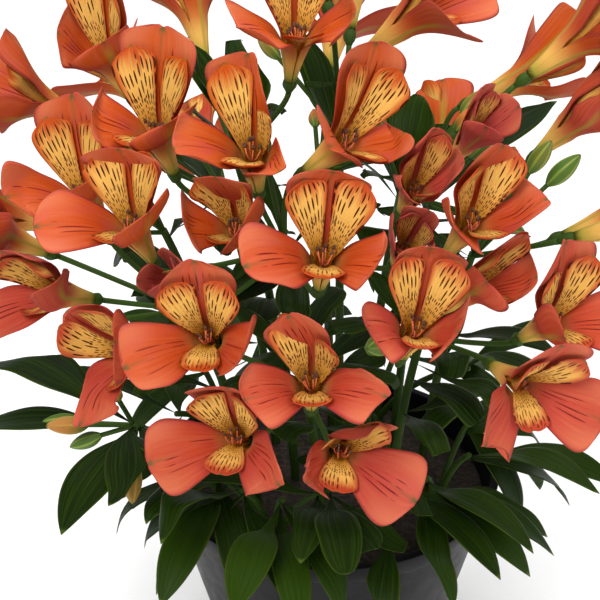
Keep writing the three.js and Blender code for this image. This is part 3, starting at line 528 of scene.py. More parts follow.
def list_stems(blooms):
    stems = []
    for i, values in enumerate(HEADS):
        stem = dict(zip(HEAD_FACTS, values))
        depth = FLOWERLESS_DEPTH if stem["flowerless"] else HEAD_DEPTH
        centre = dome_point(stem["lon"], stem["lat"], 0, depth)
        foot = at_height(direction(stem["lon"], 0) * stem["root"], SOIL_TOP - STEM_DEPTH)
        top = at_height(foot, SOIL_TOP + SOIL_MOUND + STEM_CLEAR)
        bend = bend_point(top, centre, STEM_CLIMB)
        path = [foot, *bezier(top, bend, centre, 4)]
        smooth_path = [foot, *bezier(top, bend, centre, 20)]
        stems.append({**stem, "name": f"stem_{i + 1:02d}", "centre": centre, "path": path,
                      "smooth_path": smooth_path, "stalks": [], "leaves": [], "bud_list": []})
    flowering = [stem for stem in stems if not stem["flowerless"]]
    for bloom in blooms:
        distances = [np.linalg.norm(stem["centre"] - bloom["base"]) for stem in flowering]
        length = min(distances)
        bend = bloom["base"] - bloom["axis"] * min(PEDICEL_BEND, length * PEDICEL_BEND_SHARE)
        stalk = {"bend": bend, "end": bloom["base"], "axis": bloom["axis"], "size": bloom["size"]}
        flowering[distances.index(length)]["stalks"].append(stalk)
    for stem in stems:
        add_path_bones(stem["name"], stem["path"], STEM_RADIUS)
        for stalk in stem["stalks"]:
            add_bone(stem["name"], stem["centre"], stalk["bend"], PEDICEL_RADIUS, STALK_WANT)
            add_bone(stem["name"], stalk["bend"], stalk["end"], OVARY_RADIUS, STALK_WANT)
    return stems


def add_buds(stem, index):
    """Buds stand in the gaps between the blooms."""
    name, centre = stem["name"], stem["centre"]
    outward = unit(centre - DOME_CENTRE + UP * BUD_RISE)
    side = unit(np.cross(outward, UP))
    for i in range(BUD_TRIES):
        if len(stem["bud_list"]) == stem["buds"]:
            break
        draw = make_draw(BUD_SEED + index * 100 + i)
        tilt = between(BUD_TILTS, draw()) * RAD
        way = turned(turned(outward, side, tilt), outward, draw() * 2 * math.pi)
        size = between(BUD_SIZES, draw())
        stalk = (BUD_SHORT_STALK if stem["flowerless"] else BUD_STALK) * between(BUD_STALK_SHARES, draw())
        base = centre + way * stalk
        tip = base + way * BUD_LENGTH * size
        body = Bone(name, base, tip, BUD_RADIUS * size, STALK_WANT)
        foot = Bone(name, centre + way * BUD_BONE_START, base, PEDICEL_RADIUS, STALK_WANT)
        others = others_than(name)
        clear = bone_gaps(body, others).min() > BUD_CLEARANCE
        stalk_clear = bone_gaps(foot, others).min() > BUD_STALK_CLEARANCE
        tips = [bud["tip"] for bud in stem["bud_list"]]
        apart = all(np.linalg.norm(other - tip) > BUD_APART * BUD_RADIUS for other in tips)
        free = all(np.linalg.norm(tip - other["end"]) > BUD_TO_BLOOM for other in stem["stalks"])
        if clear and stalk_clear and apart and free:
            stem["bud_list"].append({"base": base, "tip": tip, "way": way, "size": size})
            bones.extend([body, foot])


def leaf_way(leaf):
    return lambda share: direction(leaf["yaw"], mix(leaf["pitch"], leaf["droop"], share))


def add_leaf(node, leaves, leaf):
    way = leaf_way(leaf)
    line = grow_line(leaf["root"], leaf["length"], way, None, 0)
    middle = line[GROWTH_STEPS // 2]
    near = Bone(node, leaf["root"] + way(0) * LEAF_BONE_START, middle, LEAF_CORE, LEAF_WANT)
    far = Bone(node, middle, line[-1], LEAF_CORE, LEAF_WANT)
    rim_normal, rim_limit = rim_plane(far)
    over_rim = all(point @ rim_normal < rim_limit - 1 for point in (middle, line[-1]))
    others = others_than(node)
    clear = all(bone_gaps(bone, others).min() > LEAF_CLEARANCE for bone in (near, far))
    tips = [other["bones"][1] for other in leaves]
    apart = not tips or bone_gaps(far, tips).min() > LEAF_APART
    if over_rim and clear and apart:
        bones.extend([near, far])
        leaves.append({**leaf, "bones": [near, far]})


def fill_leaves(node, leaves, wanted, leaf_at):
    """Tries one leaf after another until enough of them have found room."""
    enough = len(leaves) + wanted
    for i in range(LEAF_TRIES * wanted):
        if len(leaves) < enough:
            add_leaf(node, leaves, leaf_at(i))


def fanned(order, start, fan):
    """Angles that step by the golden angle within a fan, in degrees."""
    return (order * GOLDEN_ANGLE + start) % fan - fan / 2


def new_leaf(kind, root, facing, raised, draw):
    """A leaf of one kind, with a random size and bend of its own."""
    yaw = facing + spread(draw, kind["yaw_spread"])
    pitch = kind["lift"] + raised + spread(draw, kind["lift_spread"])
    length = LEAF_LENGTH * between(kind["lengths"], draw())
    width = between(kind["widths"], draw())
    return {"root": root, "yaw": yaw, "pitch": pitch, "droop": pitch - kind["droop"], "length": length,
            "width": width, "twist": spread(draw, kind["twist"]), "fresh": kind["fresh"]}


def add_stem_leaves(stem, index):
    """A ring of leaves below the blooms, and further leaves down the stem."""
    draw = make_draw(STEM_LEAF_SEED + 20 * stem["seed"] + index)
    stem_leaves = stem["leaf_count"] - HEAD_LEAVES

    def head_leaf(i):
        root = mix(stem["centre"], stem["path"][-2], 0.1 + 0.1 * (i % 2))
        facing = stem["lon"] + (i / HEAD_LEAVES - 0.4) * HEAD_FAN
        return new_leaf(HEAD_LEAF, root, facing, stem["lat"] * LIFT_SHARE, draw)

    def side_leaf(i):
        root = rounded_path_point(stem["path"][1:], 0.3 + 0.6 * (i % stem_leaves) / stem_leaves)
        facing = stem["lon"] + fanned(i, 60, STEM_FAN)
        return new_leaf(STEM_LEAF, root, facing, 0, draw)

    fill_leaves(stem["name"], stem["leaves"], HEAD_LEAVES, head_leaf)
    fill_leaves(stem["name"], stem["leaves"], stem_leaves, side_leaf)


def list_clumps():
    clumps = []
    for i, (clump_lon, shoot_lons, leaf_count, seed) in enumerate(CLUMPS):
        name = f"shoots_{i + 1:02d}"
        foot = at_height(direction(clump_lon, 0) * CLUMP_RING_RADIUS, SOIL_TOP - STEM_DEPTH)
        crown = at_height(foot, SOIL_TOP + SOIL_MOUND + STEM_CLEAR)
        add_bone(name, foot, crown, CLUMP_RADIUS, STALK_WANT)
        shoots = []
        for k, lon in enumerate(shoot_lons):
            draw = make_draw(SHOOT_SEED + i * 10 + k)
            tip = direction(lon, 0) * (SHOOT_REACH + spread(draw, 6))
            tip[2] = SHOOT_RISE + spread(draw, 8)
            curve = (at_height(foot, SOIL_TOP + SOIL_MOUND), bend_point(crown, tip, SHOOT_CLIMB), tip)
            path = bezier(*curve, 3)
            add_path_bones(name, path, SHOOT_RADIUS)
            shoots.append({"lon": lon, "tip": tip, "path": path, "smooth_path": bezier(*curve, 12)})
        clumps.append({"name": name, "foot": foot, "crown": crown, "shoots": shoots,
                       "leaf_count": leaf_count, "seed": seed, "leaves": []})
    return clumps


def add_shoot_leaves(clump, index):
    for k, shoot in enumerate(clump["shoots"]):
        draw = make_draw(SHOOT_LEAF_SEED + 100 * clump["seed"] + index * 10 + k)

        def shoot_leaf(i):
            root = mix(shoot["tip"], shoot["path"][-2], 0.08 + 0.12 * (i % 6))
            facing = shoot["lon"] + fanned(i, 110, SHOOT_FAN)
            return new_leaf(SHOOT_LEAF, root, facing, -18 * (i % 4), draw)

        fill_leaves(clump["name"], clump["leaves"], clump["leaf_count"], shoot_leaf)


# Meshes
def place_object(name, data):
    placed = bpy.data.objects.new(name, data)
    bpy.context.scene.collection.objects.link(placed)
    return placed


class Shape:
    """The points and faces of one piece. Each point has a tint and a place for its material: how
    far along, how far across, and a random number for its sheet or tube, the lot. Each face has the
    number of its finish."""

    def __init__(self):
        self.points = []
        self.places = []
        self.tints = []
        self.faces = []
        self.finishes = []
        self.count = 0

    def add(self, points, places, tint, faces, finish):
        self.points.append(points)
        self.places.append(places)
        self.tints.append(np.full(len(points), tint))
        self.faces.extend([tuple(int(k) + self.count for k in face) for face in faces])
        self.finishes.extend([finish] * len(faces))
        self.count += len(points)

    def build(self, name, finishes, slot, nodes):
        mesh = bpy.data.meshes.new(name)
        mesh.from_pydata(np.vstack(self.points) / 1000, [], self.faces)
        mesh.polygons.foreach_set("material_index", self.finishes)
        mesh.polygons.foreach_set("use_smooth", [True] * len(self.faces))
        place = mesh.attributes.new("place", "FLOAT_VECTOR", "POINT")
        place.data.foreach_set("vector", np.vstack(self.places).astype(np.float32).ravel())
        tint = mesh.attributes.new("tint", "FLOAT", "POINT")
        tint.data.foreach_set("value", np.concatenate(self.tints).astype(np.float32))
        for finish in finishes:
            mesh.materials.append(finish)
        mesh.validate()
        piece = place_object(name, mesh)
        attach(piece, "root")
        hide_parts(*nodes)
        return piece


def draw_lot(draw):
    """A sheet's lot, far enough from 0 for its sign to tell the two faces apart."""
    return 0.05 + 0.9 * draw()


def sheet_places(along, across, lot):
    return np.stack([np.repeat(along, len(across)), np.tile(across, len(along)),
                     np.full(len(along) * len(across), lot)], axis=1)


def ring_index(count, sides):
    """The numbers of the points of rings, with the first point of each ring again at its end."""
    index = np.arange(count * sides).reshape(count, sides)
    return np.hstack([index, index[:, :1]])


def grid_faces(index, flipped):
    a, b = index[:-1, :-1].ravel(), index[:-1, 1:].ravel()
    c, d = index[1:, 1:].ravel(), index[1:, :-1].ravel()
    return np.stack([a, d, c, b] if flipped else [a, b, c, d], axis=1)


def add_sheet(shape, surface, along, across, lot, tint, half_thickness, finish):
    """A thin closed sheet round a surface, with the places of its rows along the sheet and of its
    columns across. Its upper side has a positive lot."""
    rows, columns = surface.shape[:2]
    down_rows = np.gradient(surface, axis=0)
    over_columns = np.gradient(surface, axis=1)
    normals = np.cross(over_columns, down_rows)
    normals /= np.maximum(np.linalg.norm(normals, axis=2, keepdims=True), TINY)
    edge = np.zeros((rows, columns), bool)
    edge[0] = edge[-1] = True
    edge[:, 0] = edge[:, -1] = True
    thickness = np.where(edge, 0, half_thickness)[:, :, None]
    upper = (surface + normals * thickness).reshape(-1, 3)
    inside = ~edge.ravel()
    lower = (surface - normals * thickness).reshape(-1, 3)[inside]
    places = sheet_places(along, across, lot)
    under_places = places[inside] * [1, 1, -1]
    upper_index = np.arange(rows * columns).reshape(rows, columns)
    lower_index = upper_index.copy()
    lower_index[~edge] = rows * columns + np.arange(inside.sum())
    faces = np.vstack([grid_faces(upper_index, False), grid_faces(lower_index, True)])
    shape.add(np.vstack([upper, lower]), np.vstack([places, under_places]), tint, faces, finish)


def path_frames(points):
    """Two ways square to a path at each of its points, without a sudden turn."""
    tangents = unit(np.gradient(points, axis=0))
    across = np.array([1.0, 0.0, 0.0]) if abs(tangents[0][0]) < 0.9 else np.array([0.0, 1.0, 0.0])
    firsts = []
    for tangent in tangents:
        across = unit(across - tangent * (across @ tangent))
        firsts.append(across)
    return np.array(firsts), np.cross(tangents, firsts)


def add_tube(shape, points, radii, sides, lot, tint, finish, ribs=0, rib_depth=0.0):
    """A closed tube along a path. Its place runs along the path and round it."""
    points = np.asarray(points, float)
    radii = np.asarray(radii, float)
    firsts, seconds = path_frames(points)
    angles = np.arange(sides) * 2 * math.pi / sides
    reach = radii[:, None] * (1 + rib_depth * np.cos(ribs * angles)[None])
    rings = points[:, None] + reach[:, :, None] * (
        firsts[:, None] * np.cos(angles)[None, :, None] + seconds[:, None] * np.sin(angles)[None, :, None])
    index = ring_index(len(points), sides)
    faces = [*grid_faces(index, False), index[0, :-1][::-1], index[-1, :-1]]
    places = sheet_places(np.linspace(0, 1, len(points)), angles / (2 * math.pi), lot)
    shape.add(rings.reshape(-1, 3), places, tint, faces, finish)


def smooth_curve(stations, values, where):
    """A smooth curve through values at stations, read off at other places."""
    fine = np.linspace(0, 1, 101)
    curve = np.interp(fine, stations, values)
    for _ in range(30):
        curve[1:-1] = (curve[:-2] + 2 * curve[1:-1] + curve[2:]) / 4
    return np.interp(where, fine, curve)


def soften(surface, passes):
    """Evens out a surface of rows and columns, but keeps its first row where it is."""
    for _ in range(passes):
        rows = surface.copy()
        rows[1:-1] = (surface[:-2] + 2 * surface[1:-1] + surface[2:]) / 4
        columns = rows.copy()
        columns[1:, 1:-1] = (rows[1:, :-2] + 2 * rows[1:, 1:-1] + rows[1:, 2:]) / 4
        surface = columns
    return surface


def line_at(values, share):
    """Reads a line's points, or ways along it, at shares of its length."""
    steps = np.linspace(0, 1, len(values))
    return np.stack([np.interp(share, steps, values[:, k]) for k in range(3)], axis=-1)


def line_tangents(line, first_way):
    """The ways of a grown line. Where it has come to a stop, it keeps the last way."""
    tangents = []
    way = first_way
    for i in range(len(line)):
        step = line[min(i + 1, len(line) - 1)] - line[max(i - 2, 0)]
        if np.linalg.norm(step) > 0.2:
            way = unit(step)
        tangents.append(way)
    return np.array(tangents)


# Petals. The columns across a petal and a leaf are closer together towards the sides.
PETAL_COLUMNS = np.array([-1, -0.95, -0.8, -0.6, -0.4, -0.2, 0, 0.2, 0.4, 0.6, 0.8, 0.95, 1])
LEAF_COLUMNS = np.array([-1, -0.9, -0.6, -0.3, 0, 0.3, 0.6, 0.9, 1])
CLAW_ROWS = 6
CLAW_CURVE = 1.4
BLADE_ROWS = 26
ARC_END = 0.4
LIP_ANGLE = 183

# How a petal departs from a plain blade, as shares of its length and half width. The waves are
# counted in radians from the middle to a side, the groove is in millimetres, and the higher the
# power, the closer the notch stays to the tip.
SIDE_SHORTFALL = 0.05
MARGIN_WAVE = 0.012
MARGIN_WAVES = 11
NOTCH_POWER = 14
RUFFLE = 0.08
GROOVE_DEPTH = 0.5
GROOVE_WIDTH = 0.12
CLOSED_WIDTH = 0.55

OUTER_FINISH, INNER_FINISH, FILAMENT_FINISH, ANTHER_FINISH = range(4)
STALK_FINISH, LEAF_FINISH, BUD_FINISH = range(3)


def petal_way(bloom, angle):
    return turned(bloom["upright"], bloom["axis"], -angle * RAD)


def petal_planes(bloom, petals, index, planes, ring_centre):
    """The planes round a bloom, and the two that part a petal from its neighbours in the bloom."""
    angles = petals["angles"]
    following = angles[(index + 1) % 3] + (360 if index == 2 else 0)
    previous = angles[index - 1] - (360 if index == 0 else 0)
    bisectors = [(angles[index] + following) / 2 + 90, (angles[index] + previous) / 2 - 90]
    own = np.array([petal_way(bloom, angle) for angle in bisectors])
    return np.vstack([planes[0], own]), np.append(planes[1], own @ ring_centre)


def claw_surface(bloom, petals, radial, side):
    """The rows of a petal's claw, which lies on the funnel, and their places along the petal."""
    claw_start, claw_radius, ring_radius = petals["claw"]
    shares = np.linspace(0, 1, CLAW_ROWS, endpoint=False)
    rise = mix(claw_start, petals["ring_rise"], shares)[:, None, None] * FUNNEL_LENGTH * bloom["size"]
    reach = mix(claw_radius, ring_radius, shares**CLAW_CURVE)[:, None, None] * bloom["size"]
    turn = petals["arc"][0] * RAD * PETAL_COLUMNS[:, None]
    middle = bloom["base"] + bloom["axis"] * rise + radial * reach
    return shares - 1, middle + reach * (side * np.sin(turn) - radial * (1 - np.cos(turn)))


def blade_surface(bloom, petals, index, line, tangents, side, draw):
    """The rows of a petal's blade along its grown line, their places, and the middles they bend from."""
    steps = np.linspace(0, 1, BLADE_ROWS)
    along = mix(steps, np.sin(steps * math.pi / 2), 0.8)
    u = PETAL_COLUMNS
    v = along[:, None]
    crisp = np.abs(u)
    wavy_margin = MARGIN_WAVE * (1 + np.sin(u * MARGIN_WAVES + 2 * math.pi * draw()))
    back = v**4 * (SIDE_SHORTFALL * crisp**2 + wavy_margin)
    notch = petals["notch"][index] * v**NOTCH_POWER * np.exp(-((u / petals["notch_width"]) ** 2))
    place = np.clip(v - back - notch, 0, 1)
    middles = line_at(line, place)
    ways = unit(line_at(tangents, place))
    normals = unit(np.cross(side, ways))
    across = np.cross(ways, normals)
    wide = smooth_curve(petals["stations"], petals["half_widths"][index], along)
    wide = (wide * bloom["size"] * mix(CLOSED_WIDTH, 1, bloom["open"]))[:, None]
    bent = np.clip(v / ARC_END, 0, 1)
    arc = mix(petals["arc"][0], petals["arc"][1], bent * bent * (3 - 2 * bent)) * RAD
    radius = wide / arc
    wave = np.sin(v * (7 + 3 * draw()) + 2 * math.pi * draw() + u)
    groove = GROOVE_DEPTH * np.exp(-((u / GROOVE_WIDTH) ** 2)) * v * (1 - v) * 4
    lift = radius * (1 - np.cos(arc * u)) + RUFFLE * wide * crisp**3 * v * wave - groove
    outward = (radius * np.sin(arc * u))[:, :, None]
    return along, middles, middles + across * outward + normals * lift[:, :, None]


def add_petal(shape, bloom, petals, index, planes, draw):
    axis, size, opened = bloom["axis"], bloom["size"], bloom["open"]
    angle = petals["angles"][index]
    radial = petal_way(bloom, angle)
    side = unit(np.cross(radial, axis))
    ring_centre = bloom["base"] + axis * petals["ring_rise"] * FUNNEL_LENGTH * size
    root = ring_centre + radial * petals["claw"][2] * size

    def way_at(share):
        flare = np.interp(share, (0, 0.5, 1), petals["flares"][index]) * opened * RAD
        return axis * math.cos(flare) + radial * math.sin(flare)

    planes = petal_planes(bloom, petals, index, planes, ring_centre)
    margin = GAP / 2 + PETAL_THICKNESS / 2 + petals["inset"]
    length = petals["lengths"][index] * size
    line = grow_line(root, length, way_at, planes, margin + PETAL_SIDE_ROOM)
    tangents = line_tangents(line, way_at(0))
    along, middles, wanted = blade_surface(bloom, petals, index, line, tangents, side, draw)
    blade = soften(beside_line(middles, wanted, planes, margin), 5)
    claw_along, claw = claw_surface(bloom, petals, radial, side)
    surface = np.concatenate([claw, blade])
    along = np.concatenate([claw_along, along])
    lot = draw_lot(draw)
    finish = INNER_FINISH if petals is INNER_PETALS else OUTER_FINISH
    tint = np.clip(bloom["pink"] + spread(draw, 0.08), 0, 0.99) + (1 if angle == LIP_ANGLE else 0)
    add_sheet(shape, surface, along, PETAL_COLUMNS, lot, float(tint), PETAL_SHEET, finish)


# Stamens. They start, and begin to bend, at shares of the funnel. The room that they keep to
# round the bloom's axis widens beyond the throat. The sizes are those of a full-sized bloom.
STAMENS = 6
STAMEN_START = 0.5
STAMEN_ROOM = 2.7
STAMEN_ROOM_FLARE = 0.16
STAMEN_CURVE_START = 0.4
FILAMENT_RADII = (0.48, 0.26)
ANTHER_LENGTH = 2.5
ANTHER_SHARES = (0, 0.12, 0.35, 0.65, 0.88, 1)
ANTHER_SWELL = np.array([0.2, 0.52, 0.7, 0.7, 0.52, 0.2])


def keep_near_axis(path, bloom):
    """A stamen's path, drawn in towards the bloom's axis where it would touch the inner petals."""
    along = (path - bloom["base"]) @ bloom["axis"]
    across = path - bloom["base"] - along[:, None] * bloom["axis"]
    beyond = np.maximum(along - FUNNEL_LENGTH * bloom["size"], 0)
    room = STAMEN_ROOM * bloom["size"] + beyond * STAMEN_ROOM_FLARE * bloom["open"]
    too_wide = 1 - room / np.maximum(np.linalg.norm(across, axis=1), room)
    return path - across * too_wide[:, None]


def add_stamens(shape, bloom, planes, draw):
    """Thin filaments that come straight up the funnel and curl beyond the throat, each with an
    anther."""
    axis, upright, size = bloom["axis"], bloom["upright"], bloom["size"]
    side = np.cross(axis, upright)
    funnel = FUNNEL_LENGTH * size
    opened = bloom["open"] * size
    steps = np.linspace(0, 1, 20)[:, None]
    for i in range(STAMENS):
        turn = (i + 0.5) * 2 * math.pi / STAMENS
        start_way = upright * math.cos(turn) + side * math.sin(turn)
        reach = (4 + 6 * draw()) * size * (0.3 + 0.7 * bloom["open"])
        bend = (1 + 1.5 * draw()) * opened
        curl = (1.2 + 1.8 * draw()) * opened
        fan = (spread(draw, 1.5) + 1.8 * math.sin(turn)) * opened
        start = bloom["base"] + axis * funnel * STAMEN_START + start_way * 0.7
        length = funnel * (1 - STAMEN_START) + reach
        straight = funnel * STAMEN_CURVE_START
        out = np.clip((steps * length - straight) / (length - straight), 0, 1)
        sag = -upright * (bend * np.sin(out * math.pi * 0.9) - curl * out**4)
        hook = side * fan * out**1.5 - axis * curl * 0.6 * out**5
        path = start + axis * length * steps + sag + hook + start_way * out * size
        path = press_inside(keep_near_axis(path, bloom), planes, GAP / 2 + 0.8)
        radii = between(FILAMENT_RADII, steps[:, 0]) * size
        add_tube(shape, path, radii, 5, draw(), bloom["pink"], FILAMENT_FINISH)
        lean = unit(unit(path[-1] - path[-3]) + axis) * ANTHER_LENGTH * size
        anther = [path[-1] + lean * (share - 0.3) for share in ANTHER_SHARES]
        add_tube(shape, anther, ANTHER_SWELL * size, 6, draw(), 0.5, ANTHER_FINISH)


def make_bloom(bloom, index, finishes):
    draw = make_draw(BLOOM_FINISH_SEED + index)
    planes = planes_around(bloom["bone"])
    shape = Shape()
    for petals in (OUTER_PETALS, INNER_PETALS):
        for i in range(3):
            add_petal(shape, bloom, petals, i, planes, draw)
    add_stamens(shape, bloom, planes, draw)
    shape.build(f"petals_{bloom['name']}", finishes, "petal", [bloom["name"]])


# Leaves, stalks and buds
LEAF_STATIONS = [0, 0.05, 0.14, 0.3, 0.5, 0.7, 0.86, 0.95, 1]
LEAF_OUTLINE = 0.95 * np.array([0.14, 0.16, 0.46, 0.88, 1.0, 0.9, 0.58, 0.26, 0.02])

# How far a leaf's sides fold up, ripple and rise between its veins, as shares of its half width
LEAF_FOLD = 0.16
LEAF_RIPPLE = 0.06
LEAF_RIB = 0.05


def add_leaf_sheet(shape, leaf, draw):
    margin = GAP / 2 + LEAF_THICKNESS / 2
    normals, limits = zip(*(planes_around(bone) for bone in leaf["bones"]))
    planes = (np.vstack(normals), np.concatenate(limits))
    way = leaf_way(leaf)
    line = grow_line(leaf["root"], leaf["length"], way, planes, margin + LEAF_SIDE_ROOM)
    if np.linalg.norm(line[-1] - leaf["root"]) <= SHORTEST_LEAF * leaf["length"]:
        return
    side = np.cross(direction(leaf["yaw"], 0), UP)
    tangents = line_tangents(line, way(0))
    along = np.linspace(0, 1, GROWTH_STEPS + 1)
    twists = leaf["twist"] * RAD * along
    across = np.array([turned(side, tangent, twist) for tangent, twist in zip(tangents, twists)])
    across = unit(across - tangents * (across * tangents).sum(1)[:, None])
    upward = np.cross(across, tangents)
    wide = (smooth_curve(LEAF_STATIONS, LEAF_OUTLINE, along) * LEAF_HALF_WIDTH * leaf["width"])[:, None]
    u = LEAF_COLUMNS
    v = along[:, None]
    ripple = LEAF_RIPPLE * u**2 * np.sin(v * (6 + 4 * draw()) + u * 1.5 + 6 * draw())
    ribs = LEAF_RIB * np.cos(u * 3 * math.pi) * np.sin(v * math.pi)
    lift = (wide * (LEAF_FOLD * u**2 + ripple + ribs))[:, :, None]
    wanted = line[:, None] + across[:, None] * (wide * u)[:, :, None] + upward[:, None] * lift
    surface = soften(beside_line(line[:, None], wanted, planes, margin), 2)
    lot = draw_lot(draw)
    # The leaf's green tint wanders at random about its kind's value, which is partly painted shade of the
    # plant's dark inside
    fresh = float(np.clip(leaf["fresh"] + spread(draw, 0.25), 0, 1))
    add_sheet(shape, surface, along, LEAF_COLUMNS, lot, fresh, LEAF_SHEET, LEAF_FINISH)


def stalk_start(stem, order):
    down = unit(stem["path"][-2] - stem["centre"])
    return stem["centre"] + down * (STALK_SINK + STALK_SINK_STEP * order)


BUD_SHARES = np.array([0, 0.04, 0.1, 0.2, 0.32, 0.45, 0.58, 0.7, 0.81, 0.9, 0.96, 1])
BUD_SWELL = np.array([0.3, 0.42, 0.6, 0.82, 0.96, 1, 0.95, 0.82, 0.64, 0.44, 0.27, 0.1])
BUD_RIB_DEPTH = 0.07
OVARY_SWELL = np.array([0.42, 0.6, 0.86, 1, 1.02, 0.95, 0.86]) * 0.97
OVARY_RIB_DEPTH = 0.1
CROWN_SWELL = np.array([1, 1, 1, 0.98, 0.9, 0.6])
STEM_NARROWING = 0.85
PEDICEL_SWELL = 1.1


def add_stalk(shape, path, radius, end_share, sides, draw, tint):
    """A stalk whose radius changes evenly along its path, to a share of what it was."""
    radii = np.linspace(1, end_share, len(path)) * radius
    add_tube(shape, path, radii, sides, draw(), tint, STALK_FINISH)


def build_greens(shape, plant, draw, finishes):
    """Adds the leaves of a stem or clump, and makes it one piece."""
    for leaf in plant["leaves"]:
        add_leaf_sheet(shape, leaf, draw)
    shape.build(f"greens_{plant['name']}", finishes, "foliage", [plant["name"]])


def make_stem(stem, index, finishes):
    draw = make_draw(STEM_FINISH_SEED + index)
    shape = Shape()
    add_stalk(shape, stem["smooth_path"], STEM_RADIUS, STEM_NARROWING, 10, draw, 0.3)
    for i, stalk in enumerate(stem["stalks"]):
        neck = stalk["end"] - stalk["axis"] * OVARY_LENGTH * stalk["size"]
        curve = bezier(stalk_start(stem, i), stalk["bend"], neck, 10)
        add_stalk(shape, curve, PEDICEL_RADIUS, PEDICEL_SWELL, 8, draw, 0.6)
        ovary = np.linspace(neck, stalk["end"], len(OVARY_SWELL))
        radii = OVARY_SWELL * OVARY_RADIUS
        add_tube(shape, ovary, radii, 18, draw(), 0.7, STALK_FINISH, RIBS, OVARY_RIB_DEPTH)
    for i, bud in enumerate(stem["bud_list"]):
        start = stalk_start(stem, len(stem["stalks"]) + i)
        add_stalk(shape, np.linspace(start, bud["base"], 8), PEDICEL_RADIUS, 1, 8, draw, 0.6)
        body = bud["base"] + BUD_SHARES[:, None] * bud["way"] * BUD_LENGTH * bud["size"]
        ripeness = 0.15 + 0.75 * draw() * draw()
        radii = BUD_SWELL * BUD_RADIUS * bud["size"]
        add_tube(shape, body, radii, 24, draw(), ripeness, BUD_FINISH, RIBS, BUD_RIB_DEPTH)
    build_greens(shape, stem, draw, finishes)


def make_clump(clump, index, finishes):
    draw = make_draw(CLUMP_FINISH_SEED + index)
    shape = Shape()
    crown = np.linspace(clump["foot"], clump["crown"], len(CROWN_SWELL))
    add_tube(shape, crown, CROWN_SWELL * CLUMP_RADIUS, 14, draw(), 0.2, STALK_FINISH)
    for shoot in clump["shoots"]:
        add_stalk(shape, shoot["smooth_path"], SHOOT_RADIUS, STEM_NARROWING, 10, draw, 0.3)
    build_greens(shape, clump, draw, finishes)


# The pot and its soil
LATHE_SIDES = 96

# The places of the pot and its soil are in this many millimetres
PLACE_UNIT = 100

# The rounding of the pot's base, and the small waves of the soil
BASE_ROUND = 1.2
SOIL_WAVES = 12
SOIL_WAVE = 0.16


def lathe(shape, profile, bump):
    """Turns a closed profile, from the axis round to the axis, about the Z axis. The bump raises
    its points."""
    angles = np.arange(LATHE_SIDES) * 2 * math.pi / LATHE_SIDES
    radii, heights = np.array(profile[1:-1], float).T[:, :, None]
    rings = np.stack([radii * np.cos(angles), radii * np.sin(angles), heights + 0 * angles], axis=-1)
    rings[..., 2] += bump(rings)
    ends = np.array([[0, 0, profile[0][1]], [0, 0, profile[-1][1]]], float)
    ends[1:, 2] += bump(ends[1:])
    index = ring_index(len(radii), LATHE_SIDES)
    first = len(radii) * LATHE_SIDES
    faces = [*grid_faces(index, False)]
    faces += [(index[0, k + 1], index[0, k], first) for k in range(LATHE_SIDES)]
    faces += [(index[-1, k], index[-1, k + 1], first + 1) for k in range(LATHE_SIDES)]
    points = np.vstack([rings.reshape(-1, 3), ends])
    shape.add(points, points / PLACE_UNIT, 0.5, faces, 0)


def wall_radius(z):
    return mix(POT_BASE_RADIUS, POT_TOP_RADIUS, z / POT_HEIGHT)


def arc_points(centre, radius, start, end, count):
    return [(centre[0] + radius * math.cos(a * RAD), centre[1] + radius * math.sin(a * RAD))
            for a in np.linspace(start, end, count)]


def make_pot(finishes):
    band = POT_HEIGHT - RIM_BAND_HEIGHT
    lip = POT_TOP_RADIUS + RIM_BAND_STEP
    inner_round = RIM_ROUND * 0.7
    inside = POT_TOP_RADIUS - POT_WALL + inner_round
    band_radius = wall_radius(band)
    floor_radius = wall_radius(POT_FLOOR) - POT_WALL
    profile = [
        (0, 0),
        (POT_BASE_RADIUS - 4, 0),
        *arc_points((POT_BASE_RADIUS - 1, BASE_ROUND), BASE_ROUND, -90, -10, 5),
        (wall_radius(20), 20),
        (wall_radius(60), 60),
        (band_radius - 0.02, band - 0.6),
        (band_radius + 0.3, band),
        (band_radius + RIM_BAND_STEP - 0.4, band + 0.15),
        (band_radius + RIM_BAND_STEP, band + RIM_ROUND),
        *arc_points((lip - RIM_ROUND, POT_HEIGHT - RIM_ROUND), RIM_ROUND, 0, 90, 5),
        *arc_points((inside, POT_HEIGHT - inner_round), inner_round, 90, 180, 4),
        (wall_radius(60) - POT_WALL, 60),
        (floor_radius, POT_FLOOR + 0.6),
        (floor_radius - 1, POT_FLOOR),
        (0, POT_FLOOR),
    ]
    shape = Shape()
    lathe(shape, profile, lambda points: 0)
    pot = shape.build("moulded_pot", finishes, "pot", ["pot"])
    cutter = Shape()
    for i in range(DRAIN_HOLES):
        place = direction(i * 360 / DRAIN_HOLES, 0) * DRAIN_RING_RADIUS
        ends = [at_height(place, -2), at_height(place, POT_FLOOR + 2)]
        add_tube(cutter, ends, [DRAIN_HOLE_RADIUS, DRAIN_HOLE_RADIUS], 24, 0, 0.5, 0)
    cut_mesh = bpy.data.meshes.new("drain_cut")
    cut_mesh.from_pydata(np.vstack(cutter.points) / 1000, [], cutter.faces)
    cut = place_object("drain_cut", cut_mesh)
    modifier = pot.modifiers.new("drain", "BOOLEAN")
    modifier.operation = "DIFFERENCE"
    modifier.solver = "EXACT"
    modifier.object = cut
    bpy.context.view_layer.update()
    depsgraph = bpy.context.evaluated_depsgraph_get()
    holed = bpy.data.meshes.new_from_object(pot.evaluated_get(depsgraph))
    pot.modifiers.clear()
    pot.data = holed
    bpy.data.objects.remove(cut)


